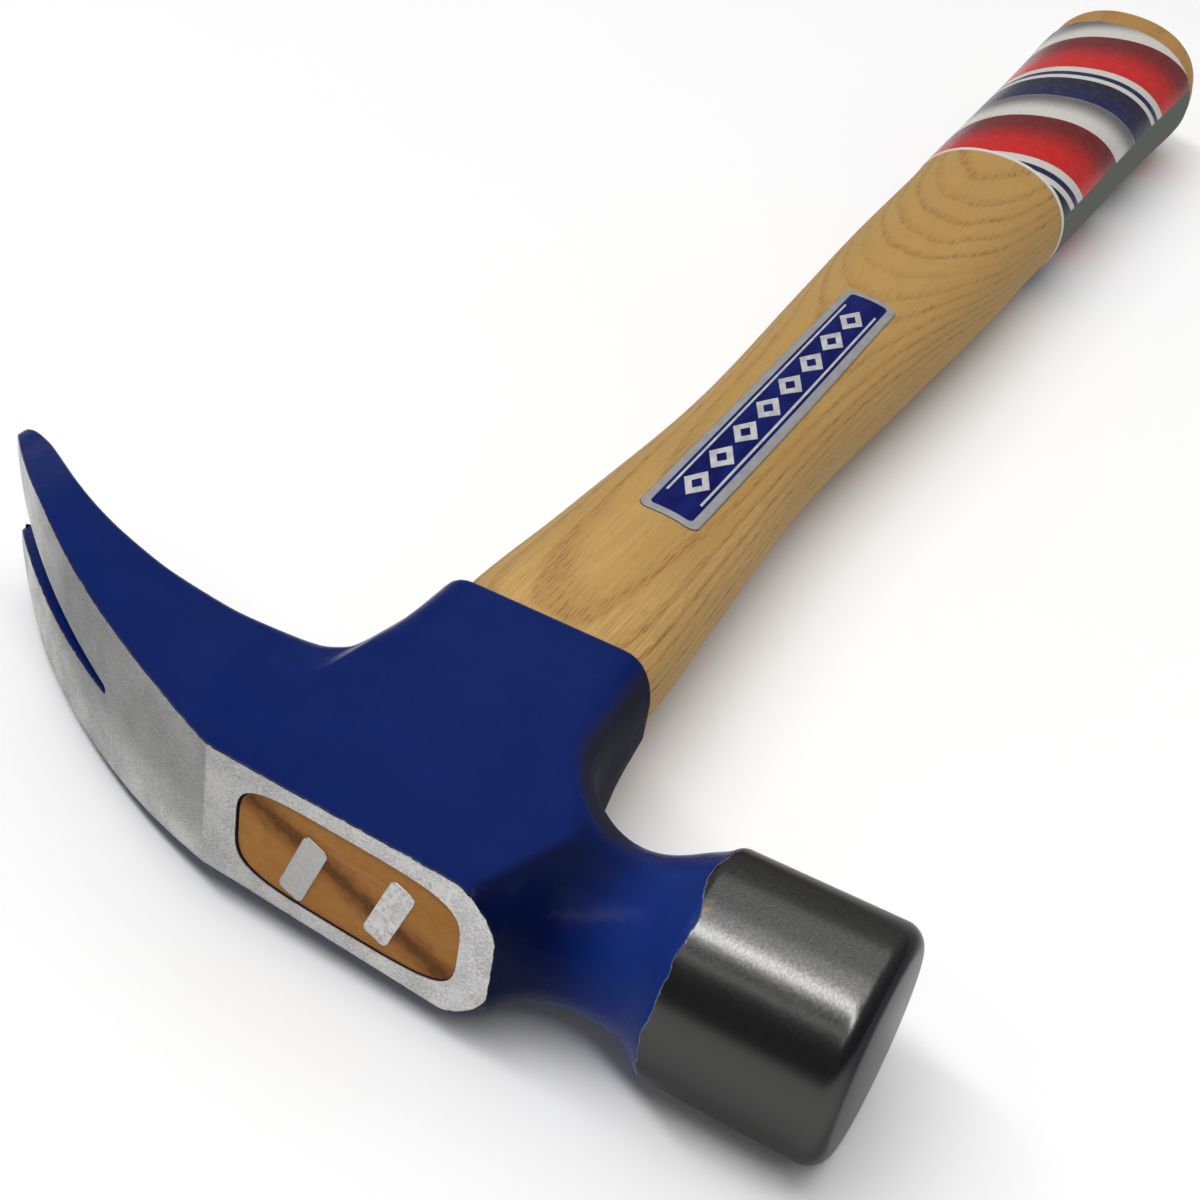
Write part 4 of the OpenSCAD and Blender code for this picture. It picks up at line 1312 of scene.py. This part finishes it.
def label_film():
    """The foil label's points above the handle's flat side, and what lays them on it."""
    across = edge_steps(LABEL_WIDTH / 2, LABEL_COLUMNS)
    along = edge_steps(LABEL_LENGTH / 2, LABEL_ROWS)
    past = np.maximum(np.abs(across) - (LABEL_WIDTH / 2 - LABEL_CORNER), 0)
    reach = LABEL_LENGTH / 2 - LABEL_CORNER + np.sqrt(np.maximum(LABEL_CORNER**2 - past**2, 0))
    points = []
    flat = []
    for v in along:
        for u, half in zip(across, reach):
            s = v * half / (LABEL_LENGTH / 2)
            x = LABEL_CENTRE[0] + u * math.cos(LABEL_TURN) - s * math.sin(LABEL_TURN)
            y = LABEL_CENTRE[1] + u * math.sin(LABEL_TURN) + s * math.cos(LABEL_TURN)
            points.append((x, y, LABEL_HEIGHT))
            flat.append((u / LABEL_WIDTH + 0.5, s / LABEL_LENGTH + 0.5))
    lifts = np.minimum.outer(edge_lift(len(along)), edge_lift(len(across))).ravel()
    faces = grid_faces(0, len(along), len(across))
    corners = [flat[i] for face in faces for i in face]
    aims = np.tile([0.0, 0.0, -1.0], (len(points), 1))
    return points, aims, lifts, faces, corners


def sleeve_ring(depth):
    """One outline of the sleeve's place on the wood from its back narrow side, and its length."""
    fine = handle_ring(handle_sections(np.array([depth]))[0], sides=RING_SAMPLES)
    fine = np.roll(fine, RING_SAMPLES // 2, axis=0)
    fine = np.vstack([fine, fine[:1]])
    girth = lengths_along(fine)[-1]
    return spread(fine, np.linspace(0, girth, SLEEVE_SIDES + 1)[:-1]), girth


def sleeve_girth():
    """Length round the sleeve half way along it, in millimetres."""
    return sleeve_ring((SLEEVE_START + SLEEVE_END) / 2)[1]


def sleeve_film():
    """The printed sleeve's points round the grip, and what lays them on it."""
    half = (SLEEVE_END - SLEEVE_START) / 2
    along = edge_steps(half, SLEEVE_ROWS)
    points = []
    aims = []
    for v in along:
        ring = sleeve_ring(SLEEVE_START + half + v)[0]
        out = ring * np.array([1, 0, 1])
        out /= np.linalg.norm(out, axis=1)[:, None]
        points.append(ring + SLEEVE_OFFSET * out)
        aims.append(-out)
    faces = [face[::-1] for face in grid_faces(0, len(along), SLEEVE_SIDES, True)]
    corners = []
    for index in range(len(faces)):
        row, column = divmod(index, SLEEVE_SIDES)
        # The print's middle runs along the back narrow side, its seam along the front one
        side = 0.5 if column < SLEEVE_SIDES / 2 else -0.5
        for near_row, near_column in ((1, 0), (1, 1), (0, 1), (0, 0)):
            u = (column + near_column) / SLEEVE_SIDES + side
            corners.append((u, (along[row + near_row] + half) / (2 * half)))
    lifts = np.repeat(edge_lift(len(along)), SLEEVE_SIDES)
    return np.vstack(points), np.vstack(aims), lifts, faces, corners


# Sizes and colours that a user would change
def tint(name, description, default):
    """A colour property."""
    return FloatVectorProperty(
        name=name, description=description, default=default, subtype="COLOR", size=3, min=0.0, max=1.0
    )


def measure(name, description, default):
    """A length property in metres."""
    return FloatProperty(
        name=name, description=description, default=default, unit="LENGTH", min=0.0, precision=5
    )


def number(name, description, default, unit="NONE"):
    """A number property, with a unit where one fits."""
    return FloatProperty(name=name, description=description, default=default, unit=unit)


def arrow(name, description, default, subtype):
    """A place or a direction property."""
    return FloatVectorProperty(
        name=name, description=description, default=default, subtype=subtype, size=3, precision=4
    )


class HeadLook(bpy.types.PropertyGroup):
    """Finish of the forged head."""

    edge_bevel: measure("Ground edge", "Rounding where the grinding meets the enamel", 0.0003)
    eye_gap: measure("Eye gap", "Dark gap round the wood in the eye", 0.00012)
    eye_chamfer: measure("Eye edge", "Broken edge round the eye", 0.00012)
    paint_end: measure("Paint end", "How far the enamel reaches toward the striking face", 0.0405)
    enamel: tint("Enamel", "The enamel's blue", (0.0036, 0.0136, 0.104))
    enamel_deep: tint("Deep enamel", "The enamel's blue where it is thick", (0.003, 0.0118, 0.092))
    # Painted shade: the enamel's blue at the neck's root, which lies in shade
    enamel_root_shade: tint("Enamel in painted shade", "The enamel's blue at the neck's root", (0.0011, 0.0034, 0.022))
    # Painted sheen: the enamel's lighter blue beside the barrel
    enamel_sheen: tint("Pale enamel", "The enamel's blue beside the barrel", (0.0088, 0.026, 0.16))
    # The wall's colours: dark bare scale with painted shade; the lighter one also paints shade on the
    # struck face's edge
    scale: tint("Wall scale", "Dark rough finish of the wall under the neck", (0.021, 0.02, 0.024))
    deep_scale_and_shade: tint("Deep scale", "The darkest of that finish", (0.013, 0.012, 0.014))
    ground: tint("Ground steel", "The ground top's bright steel", (0.7, 0.696, 0.686))
    # The ground steel in painted shade on the claw, and its painted highlight at the tips
    ground_painted_shade: tint("Steel in painted shade", "The ground steel on the claw", (0.39, 0.388, 0.382))
    ground_painted_highlight: tint("Tip steel", "The ground steel at the claw's tips", (0.93, 0.925, 0.91))
    barrel: tint("Barrel steel", "The ground barrel's steel", (0.113, 0.1122, 0.1102))
    stain: tint("Stain", "Yellow stains on the barrel", (0.3, 0.22, 0.08))


class WoodLook(bpy.types.PropertyGroup):
    """Figure and colours of the hickory handle."""

    ring_spacing: measure("Ring spacing", "Distance between growth rings", 0.0013)
    arch_rise: measure("Arch rise", "How far the rings dip under the middle of the handle", 0.0078)
    grain_slope: number("Grain slope", "Rise of the rings along the handle", 0.012)
    wood: tint("Hickory", "The handle's main tan", (0.52, 0.324, 0.116))
    wood_warm: tint("Warm hickory", "The handle's warmer tan", (0.4, 0.238, 0.069))
    ring: tint("Ring", "The growth rings' orange brown", (0.335, 0.165, 0.047))
    pore: tint("Pore", "The open pores", (0.185, 0.1, 0.034))
    end_wood: tint("End grain", "The oiled cut end in the eye", (0.345, 0.13, 0.02))
    end_dark: tint("Dark end grain", "The cut end beside the wedge", (0.16, 0.056, 0.009))


class WedgeLook(bpy.types.PropertyGroup):
    """Colours of the eye's wedges."""

    wedge: tint("Wedge wood", "The wooden wedge's brown", (0.15, 0.058, 0.01))
    wedge_edge: tint("Wedge edge", "The wooden wedge beside the handle", (0.27, 0.1, 0.016))
    wedge_dark: tint("Dark wedge wood", "The wooden wedge's pores", (0.09, 0.034, 0.007))
    steel: tint("Wedge steel", "The steel wedges' struck ends", (0.64, 0.635, 0.625))
    steel_dark: tint("Pitted steel", "The steel wedges' pits", (0.38, 0.377, 0.37))


class FilmLook(bpy.types.PropertyGroup):
    """Sizes and colours of the label and the sleeve."""

    film_thickness: measure("Film thickness", "Thickness of both films", 0.00022)
    label_border: measure("Label border", "Width of the label's bare foil edge", 0.0014)
    label_motif: measure("Label motif", "Distance between the label's lozenges", 0.0086)
    foil: tint("Foil", "The label's silver", (0.62, 0.62, 0.62))
    panel: tint("Panel", "The label's blue", (0.0022, 0.0045, 0.066))
    panel_light: tint("Light panel", "The label's paler blue", (0.006, 0.012, 0.115))
    band_pitch: measure("Band pitch", "Distance at which the sleeve's bands repeat", 0.056)
    band_slant: number("Band slant", "Lean of the sleeve's bands", 0.55)
    print_red: tint("Red", "The sleeve's red bands", (0.46, 0.012, 0.01))
    print_white: tint("White", "The sleeve's pale bands", (0.52, 0.5, 0.47))
    print_navy: tint("Navy", "The sleeve's dark blue bands", (0.008, 0.011, 0.055))
    print_shadow: tint("Shadow", "What the sleeve's bands darken toward", (0.012, 0.01, 0.012))
    print_grey: tint("Grey", "The sleeve's plain strip", (0.125, 0.138, 0.12))
    print_line: tint("Border", "The sleeve's pale border line", (0.6, 0.58, 0.52))


class StageLook(bpy.types.PropertyGroup):
    """Floor, light and camera."""

    floor: tint("Floor", "The floor's colour", (0.88, 0.88, 0.88))
    key_power: number("Strip light", "Power of the strip overhead", 40.0, "POWER")
    soft_power: number("Soft light", "Power of the broad light overhead", 16.0, "POWER")
    back_power: number("Back light", "Power of the broad light behind", 11.0, "POWER")
    fill_power: number("Low strip", "Power of the low strip behind the camera", 3.0, "POWER")
    sky: number("Sky behind", "Strength of the even light behind", 0.4)
    sky_near: number("Sky before", "Strength of the even light on the camera's side", 0.12)
    lens: number("Lens", "Focal length on a 36 mm sensor", 60.756, "CAMERA")
    camera_place: arrow(
        "Camera place", "Where the camera stands", (0.09255, -0.31003, 0.1839), "TRANSLATION"
    )
    camera_view: arrow(
        "Camera view", "Which way the camera looks", (-0.2999, 0.7451, -0.5957), "DIRECTION"
    )
    camera_right: arrow(
        "Camera right", "Which way is right in the picture", (0.8723, 0.467, 0.145), "DIRECTION"
    )


# Marks on the points of the head's mesh, which its finish follows
MARK_REACH = 3.0
THIN_BEVEL = 0.01
EDGE_PLACES = 220
WALL_END = 26.0
WALL_FADED = 30.0
EYE_HALF = 8.2
EYE_NARROWS = 16.0
EYE_REACH_ABOVE = 16.6
EYE_REACH_BELOW = 14.2


def mark_ground(mesh, places, halves):
    """Stores how far each point lies inside the ground top's edge, and where the bare wall and the
    eye's walls take dark scale with painted shade.
    """
    found = np.empty(len(mesh.vertices) * 3, np.float32)
    mesh.vertices.foreach_get("co", found)
    x, y, z = (found.reshape(-1, 3) / MM - AXIS).T
    sunk = y - ground_line(x)
    inside = np.minimum(np.interp(x, places, halves) - np.abs(z), TOP_FRONT - x)
    from_slot = np.where(x < SLOT_ROOT + 1, np.abs(z) - slot_half(x), MARK_REACH)
    inside = np.minimum(inside, from_slot)
    distance = np.where(sunk > GROUND_CLEAR, -sunk, inside)
    distance = np.where(x > TOP_FRONT + 0.05, -MARK_REACH, distance)
    store_points(mesh, "ground_edge", np.clip(distance, -MARK_REACH, MARK_REACH))
    depths, edges = np.array(WALL_EDGE).T
    wall = ramp(x - smooth(depths, edges, np.clip(y, depths[0], depths[-1])), -0.5, 0.9)
    wall *= ramp(y, depths[0] - 1, depths[0] + 1) * ramp(x, WALL_FADED, WALL_END)
    # The eye's walls are as dark as the bare one: painted shade in the gap round the wood
    in_eye = (sunk > GROUND_CLEAR) & (np.abs(z) < EYE_HALF) & (y < HEAD_DEPTH - 1)
    in_eye &= np.abs(x - EYE_SHIFT) < np.where(y < EYE_NARROWS, EYE_REACH_ABOVE, EYE_REACH_BELOW)
    store_points(mesh, "front_wall", np.where(in_eye, 1.0, wall))


def ground_edge_halves():
    """Half widths of the ground top along the head, and their places."""
    sections = dense_sections()
    along = np.arange(len(sections))
    places = np.linspace(-CLAW_REACH + 0.1, TOP_FRONT, EDGE_PLACES)
    halves = []
    for x in places:
        section = section_at(sections, along, np.interp(x, sections[:, 0], along))
        outline = ground_section(section, THIN_BEVEL)[0]
        halves.append(outline[TOP_POINTS - 1, 1] + THIN_BEVEL)
    return places, np.array(halves)


# Operators
class HAMMER_OT_head(bpy.types.Operator):
    """Forge the head with its claw, eye, neck and striking barrel."""

    bl_idname = "hammer.make_head"
    bl_label = "Make the head"

    def execute(self, context):
        look = context.scene.hammer_head
        mesh = head_mesh(look.edge_bevel / MM)
        head = new_object("forged_head", mesh)
        cut(head, eye_cutter(look.eye_gap / MM, look.eye_chamfer / MM))
        mark_ground(head.data, *ground_edge_halves())
        head.data.name = "forged_head"
        head.data.materials.clear()
        head.data.materials.append(head_material(look))
        shade(head.data, HEAD_CRISP)
        place_piece(head, "head")
        return {"FINISHED"}


class HAMMER_OT_handle(bpy.types.Operator):
    """Turn the hickory handle, with spaces for the wedges in its eye end."""

    bl_idname = "hammer.make_handle"
    bl_label = "Make the handle"

    def execute(self, context):
        look = context.scene.hammer_wood
        handle = new_object("hickory_handle", handle_mesh())
        cut(handle, wedge_space())
        for name, (offset, shift) in STEEL_WEDGES.items():
            cut(handle, steel_wedge_mesh(name + "_space", offset, shift, False))
        handle.data.name = "hickory_handle"
        handle.data.materials.clear()
        handle.data.materials.append(wood_material(look, "hickory", False))
        handle.data.materials.append(wood_material(look, "hickory_end", True))
        # Only the cut end that shows in the eye has the end grain
        level = Vector((TOP_SLOPE, 1, 0)).normalized()
        limit = (AXIS[1] + 4.0) * MM
        for face in handle.data.polygons:
            if face.center.y < limit and face.normal.dot(level) < -0.9:
                face.material_index = 1
        shade(handle.data, WOOD_CRISP)
        place_piece(handle, "handle")
        return {"FINISHED"}


class HAMMER_OT_wedges(bpy.types.Operator):
    """Drive the steel wedges and finish the wooden one."""

    bl_idname = "hammer.make_wedges"
    bl_label = "Make the wedges"

    def execute(self, context):
        look = context.scene.hammer_wedges
        steel = wedge_steel_material(look)
        for name, (offset, shift) in STEEL_WEDGES.items():
            mesh = steel_wedge_mesh(name + "_block", offset, shift, True)
            mesh.materials.append(steel)
            shade(mesh, WEDGE_CRISP)
            place_piece(new_object(name + "_block", mesh), name)
        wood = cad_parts["wood_wedge"]
        wood.data.materials.clear()
        wood.data.materials.append(wedge_wood_material(look))
        return {"FINISHED"}


class HAMMER_OT_films(bpy.types.Operator):
    """Lay the foil label and the printed sleeve on the handle."""

    bl_idname = "hammer.make_films"
    bl_label = "Make the label and sleeve"

    def execute(self, context):
        look = context.scene.hammer_films
        wood = bpy.data.objects["hickory_handle"]
        tree = film_tree()
        thick = look.film_thickness
        label = lay_film("foil_label_film", label_film(), wood, tree, thick, label_material(look))
        place_piece(label, "foil_label")
        sleeve = lay_film("grip_sleeve_film", sleeve_film(), wood, tree, thick, sleeve_material(look))
        place_piece(sleeve, "grip_sleeve")
        return {"FINISHED"}


# Floor, lights and camera
FLOOR_HALF = 3.0
SENSOR_WIDTH = 36.0
CLIP_START = 0.01


def area_light(name, place, width, depth, power):
    """A soft rectangular light that faces the origin."""
    lamp = bpy.data.lights.new(name, "AREA")
    lamp.shape = "RECTANGLE"
    lamp.size = width
    lamp.size_y = depth
    lamp.energy = power
    made = new_object(name, lamp)
    made.location = place
    toward = Vector((0, 0, 0)) - Vector(place)
    made.rotation_euler = toward.to_track_quat("-Z", "Y").to_euler()


def lay_floor(look):
    """A plain pale floor under the hammer."""
    mesh = bpy.data.meshes.new("floor")
    corners = [(-1, -1, 0), (1, -1, 0), (1, 1, 0), (-1, 1, 0)]
    mesh.from_pydata([Vector(corner) * FLOOR_HALF for corner in corners], [], [(0, 1, 2, 3)])
    material, tree, shader = new_material("pale_floor")
    place = add_node(tree, "ShaderNodeTexCoord").outputs["Object"]
    tone = blend(tree, noise(tree, place, 6.0, 2.0), darker(look.floor, 0.98), look.floor)
    feed(tree, shader.inputs["Base Color"], tone)
    shader.inputs["Roughness"].default_value = 0.8
    mesh.materials.append(material)
    new_object("floor", mesh)


def light_stage(scene, look):
    """Four soft lights and an even sky that is dimmer on the camera's side."""
    area_light("strip_overhead", (-0.32, -0.78, 2.1), 3.4, 0.36, look.key_power)
    area_light("soft_overhead", (0.0, -0.2, 2.6), 2.6, 1.1, look.soft_power)
    area_light("soft_behind", (0.0, 1.25, 2.4), 2.6, 1.8, look.back_power)
    area_light("low_strip", (-0.4, -1.55, 1.6), 3.0, 0.12, look.fill_power)
    world = bpy.data.worlds.new("soft_studio")
    world.use_nodes = True
    tree = world.node_tree
    sky = tree.nodes["Background"]
    way = add_node(tree, "ShaderNodeTexCoord").outputs["Generated"]
    level = ease(tree, parts_of(tree, way)[1], -0.9, 0.9, look.sky_near, look.sky)
    sky.inputs["Color"].default_value = (1, 1, 1, 1)
    feed(tree, sky.inputs["Strength"], level)
    scene.world = world
    scene.view_settings.view_transform = "Standard"


def make_camera(look):
    """A camera at its place, turned by the way it looks and the way that is right."""
    camera = bpy.data.cameras.new("camera")
    camera.lens = look.lens
    camera.sensor_width = SENSOR_WIDTH
    camera.clip_start = CLIP_START
    made = new_object("camera", camera)
    forward = Vector(look.camera_view).normalized()
    right = Vector(look.camera_right)
    right = (right - forward * right.dot(forward)).normalized()
    turn = Matrix((right, right.cross(forward), -forward)).transposed().to_4x4()
    made.matrix_world = Matrix.Translation(look.camera_place) @ turn
    return made


class HAMMER_OT_stage(bpy.types.Operator):
    """Set the floor, the lights and the camera."""

    bl_idname = "hammer.make_stage"
    bl_label = "Make the stage"

    def execute(self, context):
        look = context.scene.hammer_stage
        lay_floor(look)
        light_stage(context.scene, look)
        bpy.context.scene.camera = make_camera(look)
        return {"FINISHED"}


# Panel and registration
class HAMMER_PT_panel(bpy.types.Panel):
    """The hammer's pieces and their settings."""

    bl_idname = "HAMMER_PT_panel"
    bl_label = "Straight claw hammer"
    bl_space_type = "VIEW_3D"
    bl_region_type = "UI"
    bl_category = "Hammer"

    def draw(self, context):
        for operator, name, group in STEPS:
            part = self.layout.box()
            part.operator(operator.bl_idname)
            look = getattr(context.scene, name)
            for setting in group.__annotations__:
                part.prop(look, setting)


# Each operator with the name of its settings and their group
STEPS = [
    (HAMMER_OT_head, "hammer_head", HeadLook),
    (HAMMER_OT_handle, "hammer_wood", WoodLook),
    (HAMMER_OT_wedges, "hammer_wedges", WedgeLook),
    (HAMMER_OT_films, "hammer_films", FilmLook),
    (HAMMER_OT_stage, "hammer_stage", StageLook),
]


def register():
    """Registers the settings, the operators and the panel."""
    for operator, name, group in STEPS:
        bpy.utils.register_class(group)
        setattr(bpy.types.Scene, name, PointerProperty(type=group))
        bpy.utils.register_class(operator)
    bpy.utils.register_class(HAMMER_PT_panel)


def unregister():
    """Takes away what register put in place."""
    bpy.utils.unregister_class(HAMMER_PT_panel)
    for operator, name, group in reversed(STEPS):
        bpy.utils.unregister_class(operator)
        delattr(bpy.types.Scene, name)
        bpy.utils.unregister_class(group)


def main():
    register()
    bpy.ops.hammer.make_head()
    bpy.ops.hammer.make_handle()
    bpy.ops.hammer.make_wedges()
    bpy.ops.hammer.make_films()
    bpy.ops.hammer.make_stage()


if __name__ == "__main__":
    main()
